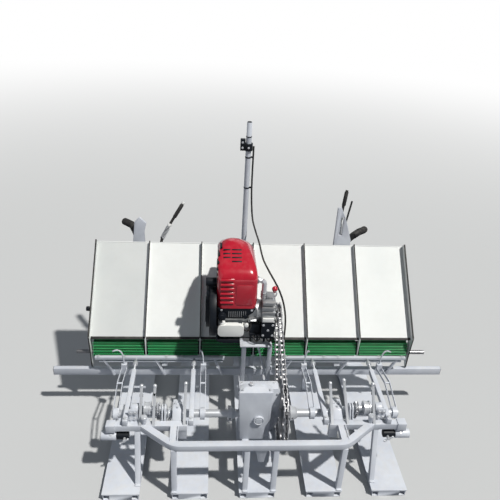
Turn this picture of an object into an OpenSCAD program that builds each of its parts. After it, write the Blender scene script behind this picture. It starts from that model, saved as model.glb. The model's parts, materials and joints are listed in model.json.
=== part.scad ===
// Walking rice transplanter: five floats, four planting arms, six-lane seedling tray, chain drive.

/* [Floats] */
// Distance from one float's centre to the next
float_pitch = 201; // [180:1:230]
// Width of each float
float_w = 110; // [90:1:125]
// Height of a float's top plate above the ground
float_h = 25; // [20:1:32]
// How far the floats reach behind the front ends, flat part
float_len = 540; // [460:5:560]
// Height that the toe of a float turns up
toe_rise = 46; // [30:1:60]

/* [Frame] */
// Side of the square frame tubes
tube = 20; // [16:1:24]
// Wall of the square tubes
wall = 2; // [1.5:0.5:3]
// Top of the frame tubes above the ground
frame_top = 216; // [200:1:235]
// Outer end of the outer tubes from the middle
outer_x = 444; // [430:1:455]
// Inner end of the outer tubes from the middle
inner_x = 212; // [200:1:220]
// Length of the beam under the tray
beam_len = 1340; // [1280:5:1400]
// Height of the beam's section
beam_h = 27; // [24:1:30]

/* [Tray] */
// Width of one seedling lane
lane_w = 180; // [170:1:184]
// Number of lanes
lanes = 6; // [4:2:6]
// Length of the tray sheet along its slope
tray_len = 337; // [300:1:360]
// Slope of the tray in degrees
tray_slope = 44; // [40:1:48]
// Height of the lane dividers above the sheet
divider_h = 16; // [10:1:22]
// Thickness of the tray's sheet metal
sheet_t = 2; // [1.5:0.5:3]

/* [Planting arms] */
// Outer arms from the middle
arm_out = 424; // [418:1:430]
// Inner arms from the middle
arm_in = 167; // [160:1:172]
// Length from the swing pin to the claw clamp
arm_len = 194; // [185:1:196]

/* [Drive] */
// Pitch of the drive chain
pitch = 15.875; // [15.875]
// Teeth of the large sprocket
teeth_big = 42; // [40:1:42]
// Teeth of the small sprocket
teeth_small = 13; // [12:1:14]
// Links in the drive chain
chain_links = 68; // [66:2:68]
// Diameter of the main shaft
shaft_d = 24; // [20:1:26]

/* [Engine] */
// Width of the engine's red cover
cover_w = 124; // [110:1:130]
// Radius of the starter housing
starter_r = 84; // [76:1:88]
// Top of the engine stand above the ground
stand_top = 320; // [312:1:326]

/* [Handles] */
// Height of the centre pole's top
pole_top = 952; // [900:5:1000]
// Diameter of the centre pole
pole_d = 18; // [16:1:22]

/* [Hidden] */
$fn = 40;

paint = [0.84, 0.85, 0.87];
zinc = [0.70, 0.72, 0.74];
steel = [0.55, 0.56, 0.58];
black = [0.09, 0.09, 0.10];
green = [0.10, 0.50, 0.20];
red = [0.68, 0.05, 0.08];

// The machine's own frame has its front at float_y0; every node is moved back by y_mid for its origin.
float_y0 = -140;
grip_end = 590;
y_mid = (float_y0 + grip_end) / 2;

// Shaft, frame and tray places
shaft_y = 2;
shaft_z = 203;
counter = [-14, 239.66];
u_y = -136;
outer_y = -60;
tube_z = frame_top - tube;
beam_y = 239;
beam_d = 15;
beam_top = 173;
beam_z = beam_top - beam_h;
tray_y = 248;
tray_z = 293;
tray_w = lane_w * lanes;
leg_w = 16;
spine_z = beam_z - tube;
spine_x = [-37, 47];

// Chain drive: plane across chain_x, sprocket places and radii
chain_x = 74;
big_r = pitch / (2 * sin(180 / teeth_big));
small_r = pitch / (2 * sin(180 / teeth_small));
// Pitches round the loop for a centre distance c
function loop_pitches(c) = let (b = asin((big_r - small_r) / c))
  2 * sqrt(c * c - (big_r - small_r) * (big_r - small_r)) / pitch
  + teeth_big * (180 + 2 * b) / 360 + teeth_small * (180 - 2 * b) / 360;
function centre_for(c, n) = n == 0 ? c : centre_for(c + (chain_links - loop_pitches(c)) * pitch / 2, n - 1);
centre = centre_for(313, 6);
drive_a = 38;
sprocket_y = shaft_y + centre * cos(drive_a);
sprocket_z = shaft_z + centre * sin(drive_a);
wrap_a = asin((big_r - small_r) / centre);

// Radial clearance of a shaft in its bearing
run_gap = 0.08;

// Square bar from p to q
module strut(p, q, w, d = 0) {
  v = q - p;
  n = norm(v);
  translate(p) rotate([0, acos(v[2] / n), atan2(v[1], v[0])])
    translate([-w / 2, -(d > 0 ? d : w) / 2, 0]) cube([w, d > 0 ? d : w, n]);
}

// Strut whose ends are cut level at heights z0 and z1
module level_strut(p, q, w, z0, z1, d = 0) {
  v = q - p;
  e = 0.2 * v;
  intersection() {
    strut(p - e, q + e, w, d);
    translate([min(p[0], q[0]) - 60, min(p[1], q[1]) - 90, z0])
      cube([abs(v[0]) + 120, abs(v[1]) + 180, z1 - z0]);
  }
}

// Hollow square tube along X from the origin
module tube_x(len, a = tube, b = tube, t = wall) {
  difference() {
    cube([len, a, b]);
    translate([-1, t, t]) cube([len + 2, a - 2 * t, b - 2 * t]);
  }
}

module tube_y(len, a = tube, b = tube, t = wall) {
  translate([a, 0, 0]) rotate([0, 0, 90]) tube_x(len, a, b, t);
}

// Cylinder along X, centred on the middle of its length at x
module disc_x(x, y, z, r, h) {
  translate([x - h / 2, y, z]) rotate([0, 90, 0]) cylinder(r = r, h = h);
}

// Tube swept along points, as one closed skin
function unit(v) = v / norm(v);
function tangent(p, i) =
  unit(i == 0 ? p[1] - p[0] : i == len(p) - 1 ? p[i] - p[i - 1] : p[i + 1] - p[i - 1]);
function side_of(t) = unit(abs(t[0]) < 0.9 ? cross(t, [1, 0, 0]) : cross(t, [0, 1, 0]));
module sweep(p, r, sides = 8) {
  n = len(p);
  pts = [for (i = [0:n - 1]) let (t = tangent(p, i), a = side_of(t), b = cross(t, a))
    for (k = [0:sides - 1]) p[i] + r * (cos(360 * k / sides) * a + sin(360 * k / sides) * b)];
  walls = [for (i = [0:n - 2]) for (k = [0:sides - 1]) let (m = (k + 1) % sides)
    each [[i * sides + k, (i + 1) * sides + k, (i + 1) * sides + m],
          [i * sides + k, (i + 1) * sides + m, i * sides + m]]];
  ends = [for (k = [1:sides - 2]) each [[0, k, k + 1],
    [(n - 1) * sides, (n - 1) * sides + k + 1, (n - 1) * sides + k]]];
  polyhedron(pts, concat(walls, ends));
}

// Smooth curve through the points p, n steps between two of them
function curve_at(a, b, c, d, t) = 0.5 * (2 * b + (c - a) * t + (2 * a - 5 * b + 4 * c - d) * t * t
  + (3 * b - a - 3 * c + d) * t * t * t);
function curve(p, n) = let (m = len(p) - 1)
  concat([for (i = [0:m - 1]) for (k = [0:n - 1])
    curve_at(p[max(i - 1, 0)], p[i], p[i + 1], p[min(i + 2, m)], k / n)],
    [p[m]]);

// Quadratic arc through a corner, for bent rods
function bend(a, b, c, n) =
  [for (i = [0:n]) let (t = i / n) (1 - t) * (1 - t) * a + 2 * t * (1 - t) * b + t * t * c];

// Floats: a closed body between two runner tubes under a wider top plate, with a turned-up toe
toe_r = 120;
toe_a = acos(1 - toe_rise / toe_r);
float_skin = 3;
runner_end = 40;
module float_side() {
  square([float_len, float_h - 4]);
  translate([float_len, toe_r]) intersection() {
    difference() {
      circle(r = toe_r);
      circle(r = toe_r - float_skin);
    }
    polygon([[0, 0], [0, -2 * toe_r], [2 * toe_r * sin(toe_a), -2 * toe_r * cos(toe_a)]]);
  }
  intersection() {
    translate([float_len - 1, 0]) square([toe_r, float_h - 4]);
    translate([float_len, toe_r]) circle(r = toe_r);
  }
}
module side_sweep(w) {
  rotate([90, 0, 90]) translate([0, 0, -w / 2]) linear_extrude(w) children();
}
module float(i) {
  body_w = float_w - 2 * float_skin;
  runner = float_h - 4;
  color(paint) translate([(i - 3) * float_pitch, float_y0, 0]) {
    difference() {
      side_sweep(body_w) float_side();
      for (s = [-1, 1]) translate([s * (body_w - runner) / 2 - runner / 2 + wall, -1, wall])
        cube([runner - 2 * wall, runner_end, runner - 2 * wall]);
    }
    translate([-float_w / 2, 0, runner]) cube([float_w, float_len + 40, 4]);
  }
}

// Front legs: columns x, y at the top, y at the foot
leg_out = 2 * float_pitch - 47;
leg_mid = float_pitch + 45;
leg_rows = [[-leg_out, -50, -100], [-leg_mid, -126, -126], [spine_x[0], -126, -126],
  [spine_x[1], -126, -126], [leg_mid, -126, -126], [leg_out, -50, -100]];
module front_legs() {
  color(paint) for (r = leg_rows) {
    level_strut([r[0], r[2], float_h], [r[0], r[1], tube_z], leg_w, float_h, tube_z);
    translate([r[0] - 8, r[2] - 14, float_h]) cube([16, 34, 4]);
  }
}

// Main frame: outer tubes, tube bent round the front, ties; the tube ends are open.
// Below each end hangs a socket tube on a clamp, and a lug hangs under the middle.
bend_x = float_pitch + 49;
bend_a = 38.7;
bend_r = 70;
tie_x = bend_x - 4;
// One edge of the bent tube at distance d outside its front line, as points from the middle outwards
function bent_edge(d) = let (c = [bend_x - bend_r * tan(bend_a / 2), u_y + bend_r], r = bend_r + d,
    last = c + r * [sin(bend_a), -cos(bend_a)], run = (outer_y + tube / 2 - last[1]) / sin(bend_a))
  concat([for (i = [0:6]) c + r * [sin(bend_a * i / 6), -cos(bend_a * i / 6)]],
    [last + run * [cos(bend_a), sin(bend_a)]]);
function flip(p) = [for (i = [len(p) - 1:-1:0]) [-p[i][0], p[i][1]]];
module frame_plan() {
  for (s = [-1, 1]) {
    translate([s > 0 ? inner_x : -outer_x, outer_y]) square([outer_x - inner_x, tube]);
    translate([s * tie_x - tube / 2, u_y + 8]) square([tube - 4, outer_y - u_y - 6]);
  }
  out = bent_edge(0);
  in = bent_edge(-tube);
  polygon(concat(flip(out), out, [for (i = [len(in) - 1:-1:0]) in[i]], [for (q = in) [-q[0], q[1]]]));
}
socket_z = 172;
socket_y = -52;
socket_r = 14;
clamp_w = 26;
module socket_clamp() {
  translate([outer_x - clamp_w, outer_y - 3, tube_z - 3]) difference() {
    cube([clamp_w, tube + 6, tube + 6]);
    translate([-1, 3, 3]) cube([clamp_w + 2, tube, tube]);
  }
  difference() {
    union() {
      disc_x(outer_x - 6, socket_y, socket_z, socket_r, 44);
      translate([outer_x - clamp_w, socket_y - 5, socket_z]) cube([clamp_w, 10, tube_z - 2 - socket_z]);
    }
    disc_x(outer_x, socket_y, socket_z, 10, 100);
  }
}
module main_frame() {
  open_depth = 45;
  color(paint) {
    difference() {
      translate([0, 0, tube_z]) linear_extrude(tube) frame_plan();
      for (x = [-outer_x - 1, outer_x - open_depth]) translate([x, outer_y + wall, tube_z + wall])
        cube([open_depth + 1, tube - 2 * wall, tube - 2 * wall]);
    }
    mirror_pair() {
      socket_clamp();
      translate([inner_x, outer_y + 2, tube_z - 34]) cube([26, 16, 34]);
    }
    translate([0, u_y + 12, 0]) rotate([90, 0, 0]) linear_extrude(6)
      polygon([[-14, tube_z], [22, tube_z], [12, tube_z - 52], [-4, tube_z - 52]]);
  }
}
module socket_plugs() {
  color(black) mirror_pair() {
    disc_x(outer_x - 46, socket_y, socket_z, 12, 35.4);
    disc_x(outer_x - 19, socket_y, socket_z, 9.7, 20);
  }
}

module spine() {
  color(paint) for (x = spine_x)
    translate([x - tube / 2, leg_rows[2][1] + leg_w / 2, spine_z])
      tube_y(beam_y + beam_d - leg_rows[2][1] - leg_w / 2);
}

module beam() {
  color(paint) translate([-beam_len / 2, beam_y, beam_z]) tube_x(beam_len, beam_d, beam_h, 2);
}

// Seedling gate: top rail, lower bar and braces down to the beam
gate_x0 = 98;
gate_x1 = 524;
gate_y = 219;
gate_z = 228;
module gate(s) {
  color(paint) {
    translate([s > 0 ? gate_x0 : -gate_x1, gate_y, gate_z]) cube([gate_x1 - gate_x0, 11, 10]);
    translate([s > 0 ? gate_x0 + 4 : -gate_x1 + 12, gate_y + 3, gate_z - 12])
      cube([gate_x1 - gate_x0 - 16, 8, 5]);
    for (x = [gate_x0 + 30, gate_x1 - 200, gate_x1 - 30]) {
      translate([s * x - 4, gate_y + 3, gate_z - 8]) cube([8, 8, 9]);
      difference() {
        strut([s * x, gate_y + 7, gate_z - 8], [s * (x - 26), beam_y - 2, beam_z + 4], 8);
        translate([-beam_len / 2, beam_y, beam_z]) cube([beam_len, beam_d, beam_h]);
      }
    }
  }
}

// Support arms: bars on pads of the outer tubes, each held to its gate rail by a height screw
sup_x = [-389, -inner_x + 13, inner_x - 13, 389];
sup_h = 16;
sup_w = 14;
sup_z = frame_top + 5;
sup_end = 160;
module support_arms() {
  color(paint) for (x = sup_x) {
    translate([x - sup_w / 2, outer_y, sup_z]) cube([sup_w, sup_end - outer_y, sup_h]);
    translate([x, sup_end, sup_z]) cylinder(r = sup_w / 2, h = sup_h);
    translate([x - sup_w / 2, outer_y, frame_top]) cube([sup_w, tube, 6]);
  }
}
module along_y(x, y, z, r, h) {
  translate([x, y, z]) rotate([-90, 0, 0]) cylinder(r = r, h = h);
}
module height_screws() {
  z = gate_z + 5;
  y0 = sup_end + sup_w / 2 + 0.3;
  color(zinc) for (x = sup_x) {
    along_y(x, y0, z, 3.5, gate_y - 0.3 - y0);
    along_y(x, y0 + 22, z, 8, 9);
    along_y(x, y0 + 31, z, 6, 6);
  }
}

// Planting units, one at each side: bearing box, plates, chain, outer housing
unit_y0 = outer_y + tube;
unit_y1 = 26;
unit_z0 = 182;
chain_at = 297;
counter_r = 8;
drum_r = 20;
plate_x = [274, 282];
housing_x = 354;
housing_w = 20;
module mirror_pair() {
  for (s = [0, 1]) mirror([s, 0, 0]) children();
}
// Plate in the plane across the shafts, from x over thickness w
module across(x, w) {
  translate([x, 0, 0]) rotate([90, 0, 90]) linear_extrude(w) children();
}
module shaft_bores(x, h) {
  disc_x(x, shaft_y, shaft_z, shaft_d / 2 + run_gap, h);
  disc_x(x, counter[0], counter[1], counter_r + run_gap, h);
}
module bearing_boxes() {
  color(paint) mirror_pair() difference() {
    across(225, 30) polygon([[unit_y0, unit_z0], [unit_y1, unit_z0], [unit_y1, 238], [-18, 238],
      [unit_y0, frame_top]]);
    disc_x(240, shaft_y, shaft_z, shaft_d / 2 + run_gap, 60);
  }
}
module bearing_outline(grow) {
  translate([shaft_y, shaft_z]) circle(r = 20 + grow);
  translate(counter) circle(r = 14 + grow);
  polygon([[unit_y0, unit_z0], [unit_y1 - 4, unit_z0], [unit_y1 - 4, shaft_z],
    [counter[0] + 13, counter[1] + 5],
    [counter[0] - 12, counter[1] + 8], [unit_y0, frame_top]]);
}
module unit_plates() {
  color(paint) mirror_pair() {
    difference() {
      union() {
        for (x = plate_x) across(x, 4) bearing_outline(0);
        across(plate_x[0], 12) translate([unit_y0, unit_z0]) square([6, 30]);
      }
      shaft_bores(280, 30);
    }
    difference() {
      union() {
        across(housing_x, housing_w) bearing_outline(2);
        translate([housing_x, unit_y0, unit_z0]) cube([27, 5, 76]);
      }
      shaft_bores(365, 60);
    }
    translate([335, outer_y + 10, frame_top]) cylinder(r1 = 5, r2 = 10, h = 26);
  }
}
// Hand levers of the units: columns x, z at the foot, x, y, z at the ball
lever_rows = [[-346, 216, -345, 10, 306], [-308, 216, -307, 16, 300], [-219, 216, -217, 24, 302],
  [346, 216, 345, 14, 308], [266, 216, 258, 26, 312], [219, 216, 217, 24, 302]];
module unit_levers() {
  foot_y = outer_y + 4;
  color(zinc) for (r = lever_rows) {
    top = [r[2], r[3], r[4]];
    level_strut([r[0], foot_y, r[1]], top, 4, r[1], r[4], 8);
    translate(top) sphere(r = 6, $fn = 24);
  }
}
// Outline of a small chain standing between the main shaft and the countershaft
small_pitch_r = 15.45;
function unit_run() = counter - [shaft_y, shaft_z];
module small_loop(r) {
  n = r / norm(unit_run()) * [-unit_run()[1], unit_run()[0]];
  a = [shaft_y, shaft_z];
  translate(a) circle(r = r, $fn = 12);
  translate(counter) circle(r = r, $fn = 12);
  polygon([a + n, counter + n, counter - n, a - n]);
}
module unit_chains() {
  color(steel) mirror_pair() for (x = [chain_at - 4.5, chain_at + 2.5]) across(x, 2) difference() {
    small_loop(small_pitch_r + 3);
    small_loop(small_pitch_r - 2);
  }
}
module small_wheel(y, z) {
  teeth = 12;
  difference() {
    across(chain_at - 1.8, 3.6) translate([y, z]) polygon([for (i = [0:teeth - 1])
      for (k = [[-0.3, small_pitch_r - 2.4], [0, small_pitch_r + 2.4], [0.3, small_pitch_r - 2.4]])
        k[1] * [cos((i + k[0]) * 360 / teeth), sin((i + k[0]) * 360 / teeth)]]);
    disc_x(chain_at, y, z, 6, 20);
  }
}
module counter_shaft() {
  color(zinc) {
    disc_x((plate_x[0] + housing_x + housing_w) / 2, counter[0], counter[1], counter_r,
      housing_x + housing_w - plate_x[0] + 4);
    disc_x(328, counter[0], counter[1], drum_r - 2, 16);
    for (x = [320, 336]) disc_x(x, counter[0], counter[1], drum_r, 4);
    small_wheel(counter[0], counter[1]);
  }
}

// Gearbox: narrow front plate with a hollowed right edge, body, wider flange that holds the shaft, raised lid
gear_y = [-46, -38, -14, 20];
gear_top = 315;
lid_z = 329;
module front_slab(y0, y1) {
  translate([0, y1, 0]) rotate([90, 0, 0]) linear_extrude(y1 - y0) children();
}
module gearbox_case() {
  color(paint) difference() {
    union() {
      front_slab(gear_y[0], gear_y[1]) polygon([[-54, beam_z], [17, beam_z], [18, 180], [20, 215], [26, 268],
        [33, 312], [36, lid_z], [-62, lid_z]]);
      front_slab(gear_y[1], gear_y[2]) polygon([[-52, beam_z], [34, beam_z], [36, lid_z - 2], [-58, lid_z - 2]]);
      front_slab(gear_y[2], gear_y[3]) polygon([[-56, beam_z], [46, beam_z], [62, 184], [62, gear_top - 12],
        [54, gear_top], [-60, gear_top]]);
      hull() {
        translate([-60, gear_y[0] + 2, lid_z - 2]) cube([94, 30, 2]);
        translate([-42, gear_y[0] + 14, lid_z + 9]) cube([54, 14, 2]);
      }
    }
    disc_x(0, shaft_y, shaft_z, shaft_d / 2 + run_gap, 200);
  }
}
module bearing_cap() {
  y = gear_y[0];
  z = 226;
  color(paint) difference() {
    translate([-1, y - 0.2, z]) rotate([90, 0, 0]) cylinder(r = 15.6, h = 8);
    translate([-1, y - 6, z]) rotate([90, 0, 0]) difference() {
      cylinder(r = 12.4, h = 4);
      translate([0, 0, -1]) cylinder(r = 10, h = 6);
    }
  }
}

// Engine stand and engine: crank across the machine, starter on the left, clutch and reduction on the right
stand_y = 180;
crank = [215, 438];
cover_x1 = -5;
cover_x0 = cover_x1 - cover_w;
cover_z0 = 470;
block_x = [cover_x0 + 16, -30];
block_y = [188, 266];
block_z = [411, 572];
fit_gap = 0.3;
module engine_stand() {
  leg = 14;
  color(paint) {
    difference() {
      union() {
        for (x = spine_x) translate([x - leg / 2, stand_y, beam_z]) cube([leg, 4, stand_top - 4 - beam_z]);
        for (x = [spine_x[0] - leg / 2, spine_x[1] + leg / 2 - 4]) translate([x, stand_y, beam_z])
          cube([4, 22, stand_top - 4 - beam_z]);
      }
      for (z = [beam_z + 24:22:stand_top - 20]) translate([spine_x[1] + 20, stand_y + 13, z])
        rotate([0, -90, 0]) cylinder(r = 3.5, h = 30);
    }
    translate([-50, stand_y - 4, stand_top - 4]) cube([102, 44, 4]);
    level_strut([spine_x[1] - 40, stand_y + 17, stand_top - 4], [spine_x[1] + 3, stand_y + 17, beam_z], 6,
      beam_z, stand_top - 4, 3);
  }
}
module engine_mount() {
  foot = 352;
  shelf = crank_low - fit_gap;
  color(black) {
    translate([-22, 190, foot]) cube([78, 66, shelf - foot]);
    translate([-22, 196, foot]) cube([33, 44, 392 - foot]);
    translate([14, 176, foot]) cube([42, 4.7, 60]);
    translate([14, 176, foot]) cube([42, 16, 6]);
    for (x = [-16, 6, 28, 50]) translate([x, 204, stand_top + fit_gap]) cylinder(r = 3.5, h = 33);
  }
}
module engine_block() {
  color(steel) translate([block_x[0], block_y[0], block_z[0]])
    cube([block_x[1] - block_x[0], block_y[1] - block_y[0], block_z[1] - block_z[0]]);
}
module crankcase_cover() {
  color(black) front_slab(block_y[0] - 14.3, block_y[0] - fit_gap)
    polygon([[cover_x0 + 2, cover_z0 - fit_gap],
    [cover_x1 - 2, cover_z0 - fit_gap], [-16, 452], [-44, 430], [-98, 430], [cover_x0 + 6, 452]]);
}
// Shape of the cover: its side outline (y, z) cut by its front outline (x, z), both with round shoulders
function arc(c, r, a0, a1, n) = [for (i = [0:n]) let (a = a0 + (a1 - a0) * i / n) c + r * [cos(a), sin(a)]];
module cover_form() {
  low = cover_z0 - 1;
  intersection() {
    across(cover_x0, cover_w) polygon(concat([[172, low]], arc([220, 558], 44, 180, 122, 5),
      arc([300, 590], 52, 102, 0, 8), [[346, 500], [310, low]]));
    front_slab(150, 360) polygon(concat([[cover_x0, low]], arc([cover_x0 + 34, 608], 34, 180, 90, 5),
      arc([cover_x1 - 62, 582], 60, 90, 0, 7), [[cover_x1, low]]));
  }
}
module engine_cover() {
  color(red) difference() {
    cover_form();
    translate([-300, 0, 0]) cube([600, 500, cover_z0]);
    translate([block_x[0] - fit_gap, block_y[0] - fit_gap, cover_z0 - 1])
      cube([block_x[1] - block_x[0] + 2 * fit_gap, block_y[1] - block_y[0] + 2 * fit_gap,
        block_z[1] - cover_z0 + 1.3]);
    for (i = [0:5]) translate([cover_x0 + 12, 160, cover_z0 + 14 + 16 * i]) cube([38, 24, 6]);
  }
}
module recoil_housing() {
  x1 = cover_x0 - 1;
  color(black) {
    disc_x(x1 - 9, crank[0], crank[1], starter_r, 18);
    disc_x(x1 - 24, crank[0], crank[1], starter_r - 28, 14);
    across(x1 - 31, 14) polygon([[crank[0] - 30, crank[1]], [crank[0] + 30, crank[1]], [crank[0] + 24, 512],
      [crank[0] - 24, 512]]);
    across(x1 - 25, 14) polygon([[crank[0] - 9, 505], [crank[0] + 9, 505], [crank[0] + 9, 532],
      [crank[0] - 9, 532]]);
    translate([x1 - 33, crank[0], 540]) rotate([0, 90, 0]) cylinder(r = 13, h = 32);
    translate([x1 - 1, block_y[0] + 10, crank[1] - 20]) cube([block_x[0] - x1 + 1 - fit_gap, 40, 30]);
  }
}
module round_slab(w, h, r, t) {
  linear_extrude(t) {
    translate([r, 0]) square([w - 2 * r, h]);
    translate([0, r]) square([w, h - 2 * r]);
    for (x = [r, w - r], y = [r, h - r]) translate([x, y]) circle(r = r);
  }
}
tank_x = [cover_x0 + 5, -42];
tank_y = [164, 258];
tank_z = [368, 410.7];
module fuel_tank() {
  w = tank_x[1] - tank_x[0];
  h = tank_z[1] - tank_z[0];
  color([0.9, 0.9, 0.86]) {
    translate([tank_x[0], tank_y[1], tank_z[0]]) rotate([90, 0, 0])
      round_slab(w, h, 14, tank_y[1] - tank_y[0]);
    translate([tank_x[0] + 12, tank_y[0] + 14, tank_z[1] - 3]) cylinder(r = 9, h = 10);
  }
}
module tank_guard() {
  color(black) front_slab(tank_y[0] + 2, tank_y[1] - 20) difference() {
    union() {
      intersection() {
        translate([tank_x[0] + 24, 406]) scale([1, 1.3]) circle(r = 50);
        translate([-200, 300]) square([200 + tank_x[0] + 24, 106]);
      }
      translate([tank_x[0] + 20, 341]) square([50, 12]);
    }
    translate([tank_x[0] - fit_gap, 353]) square([120, 90]);
    translate([-200, 300]) square([200 + cover_x0 + fit_gap, 200]);
  }
}
module muffler() {
  color(black) {
    translate([cover_x0 + 24, 388, 505]) rotate([90, 0, 0]) round_slab(84, 70, 16, 36.7);
    translate([cover_x0 + 60, 372, 575]) rotate([20, 0, 0]) cylinder(r = 8, h = 22);
  }
}
module clutch_housing() {
  color(zinc) difference() {
    clutch_bell();
    clutch_room();
  }
}
module clutch_bell() {
  translate([block_x[1] + fit_gap, crank[0], crank[1]]) rotate([0, 90, 0]) {
    cylinder(r = 43, h = 8);
    cylinder(r1 = 41, r2 = 31, h = 42.4);
    for (i = [0:5]) rotate([0, 0, 60 * i]) translate([30, -2, 0]) cube([12, 4, 26]);
  }
}
// The housing is cut level under the cover and flat behind the crankcase cover
module clutch_room() {
  translate([block_x[1] - 1, 0, cover_z0 - fit_gap]) cube([80, 400, 90]);
  translate([block_x[1] - 1, 0, 428]) cube([cover_x1 - block_x[1] + 2, block_y[0], 90]);
}
box_x = [13, 54];
box_r = 34;
crank_low = sprocket_z - 36;
module reduction_box() {
  w = box_x[1] - box_x[0];
  d = [sprocket_y, sprocket_z] - crank;
  n = [-d[1], d[0]] / norm(d);
  color(zinc) difference() {
    union() {
      across(box_x[0], w) {
        translate(crank) circle(r = box_r);
        translate([sprocket_y, sprocket_z]) circle(r = 36);
        polygon([crank + box_r * n, [sprocket_y, sprocket_z] + 36 * n, [sprocket_y, sprocket_z] - 36 * n,
          crank - box_r * n]);
      }
      for (z = [446, 464, 482]) translate([box_x[0], crank[0] - 38, z]) cube([w, 66, 5]);
      translate([box_x[0] + 3, crank[0] - 30, 440]) cube([w - 6, 52, 44]);
    }
    disc_x(34, sprocket_y, sprocket_z, 8 + run_gap, 80);
  }
}
module clutch_lever() {
  base = [46, 200, 487.3];
  color(zinc) {
    sweep(concat([base], bend(base + [0, 0, 6], base + [14, -2, 14], base + [8, -6, 30], 5),
      [base + [2, -10, 40]]), 2.6);
    sweep([for (i = [0:6]) [cover_x1 + 0.3 + 22 * sin(15 * i), 205, 540 + 14 * cos(15 * i)],
      [cover_x1 + 22.3, 205, 487.3]], 8, 12);
  }
  color(red) translate(base + [2, -10, 44]) sphere(r = 8, $fn = 24);
}

// Chain drive: link places, link plates and sprockets
// Place of joint k of the chain, counted both ways from the middle of the large sprocket's wrap
big_half = teeth_big * (180 + 2 * wrap_a) / 720;
run_half = centre * cos(wrap_a) / pitch;
function joint_up(k) = k <= big_half ? big_r * [-cos(k * 360 / teeth_big), sin(k * 360 / teeth_big)]
  : k <= big_half + run_half
  ? big_r * [sin(wrap_a), cos(wrap_a)] + (k - big_half) * pitch * [cos(wrap_a), -sin(wrap_a)]
  : let (a = (chain_links / 2 - k) * 360 / teeth_small) [centre + small_r * cos(a), small_r * sin(a)];
function joint_at(k) = let (q = joint_up(abs(k))) k < 0 ? [q[0], -q[1]] : q;
module chain_plane(x) {
  translate([x, shaft_y, shaft_z]) rotate([90, 0, 90]) rotate([0, 0, drive_a]) children();
}
// Link plate of the chain from joint k to the next
plate_end = 5.4;
module link_plate(k, half) {
  a = joint_at(k);
  d = joint_at(k + 1) - a;
  n = norm(d);
  translate(a) rotate([0, 0, atan2(d[1], d[0])]) polygon([[-plate_end, 0], [-2, half], [n + 2, half],
    [n + plate_end, 0], [n + 2, -half], [-2, -half]]);
}
// Inner links lie between outer links, face to face; rollers join both sides along the straight runs
link_w = [3.1, 5.3, 7.5];
roller_r = 4.4;
tooth = 3.8;
function clear_of_teeth(q) = norm(q) > big_r + tooth + roller_r + 1
  && norm(q - [centre, 0]) > small_r + tooth + roller_r + 1;
module link_pair(k, near, half) {
  for (z = [near, -near - link_w[1] + link_w[0]]) translate([0, 0, z])
    linear_extrude(link_w[1] - link_w[0]) link_plate(k, half);
}
module drive_chain() {
  color(steel) chain_plane(chain_x) for (k = [-chain_links / 2:chain_links / 2 - 1]) {
    q = joint_at(k);
    if (k % 2 == 0) link_pair(k, link_w[0], 6.8);
    else link_pair(k, link_w[1], 6.2);
    if (clear_of_teeth(q)) translate([q[0], q[1], -link_w[0]])
      cylinder(r = roller_r, h = 2 * link_w[0], $fn = 6);
  }
}
module sprocket(teeth, r, bore, hub_r, turn) {
  root = r - 5.4;
  tip = r + tooth;
  profile = [[-0.34, root], [-0.1, tip], [0.1, tip], [0.34, root]];
  difference() {
    union() {
      translate([-2.8, 0, 0]) rotate([90, 0, 90]) rotate([0, 0, drive_a + turn]) linear_extrude(5.6)
        polygon([for (i = [0:teeth - 1]) for (k = profile) let (a = (i + 0.5 + k[0]) * 360 / teeth)
          k[1] * [cos(a), sin(a)]]);
      translate([-3.5, 0, 0]) rotate([0, 90, 0]) cylinder(r = hub_r, h = 13);
    }
    translate([-50, 0, 0]) rotate([0, 90, 0]) cylinder(r = bore, h = 100);
  }
}
module big_sprocket() {
  color(steel) translate([chain_x, shaft_y, shaft_z]) difference() {
    sprocket(teeth_big, big_r, shaft_d / 2, 24, 180);
    for (i = [0:4]) rotate([72 * i, 0, 0]) translate([-20, 0, 64]) rotate([0, 90, 0])
      cylinder(r = 17, h = 40);
  }
}
module small_sprocket() {
  color(steel) translate([chain_x, sprocket_y, sprocket_z]) {
    sprocket(teeth_small, small_r, 7, 14, 0);
    rotate([0, 90, 0]) translate([0, 0, box_x[0] + 8 - chain_x])
      cylinder(r = 8, h = chain_x - box_x[0] + 6);
  }
}
// Swing pins of the outer and inner arms: middle and length of the pin
arm_pin_x = 407;
arm_pin_len = 58;
module arm_pins() {
  color(zinc) mirror_pair() {
    disc_x(arm_pin_x, shaft_y, shaft_z, shaft_d / 2, arm_pin_len);
    difference() {
      translate([396, unit_y0, shaft_z - 15]) cube([8, unit_y1 - unit_y0, 30]);
      disc_x(400, shaft_y, shaft_z, shaft_d / 2, 20);
    }
  }
}
module main_shaft() {
  color(zinc) {
    disc_x(0, shaft_y, shaft_z, shaft_d / 2, 2 * (housing_x + housing_w - 2));
    mirror_pair() {
      small_wheel(shaft_y, shaft_z);
      for (x = [261.5, 267.5]) disc_x(x, shaft_y, shaft_z, 20, 3);
      disc_x(264.5, shaft_y, shaft_z, 16, 9);
    }
    disc_x(-84, shaft_y, shaft_z, 23, 12);
    disc_x(-74, shaft_y, shaft_z, 16, 12);
    translate([98, shaft_y, shaft_z]) rotate([0, 90, 0]) cylinder(r1 = 25, r2 = 15, h = 22);
  }
}

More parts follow.
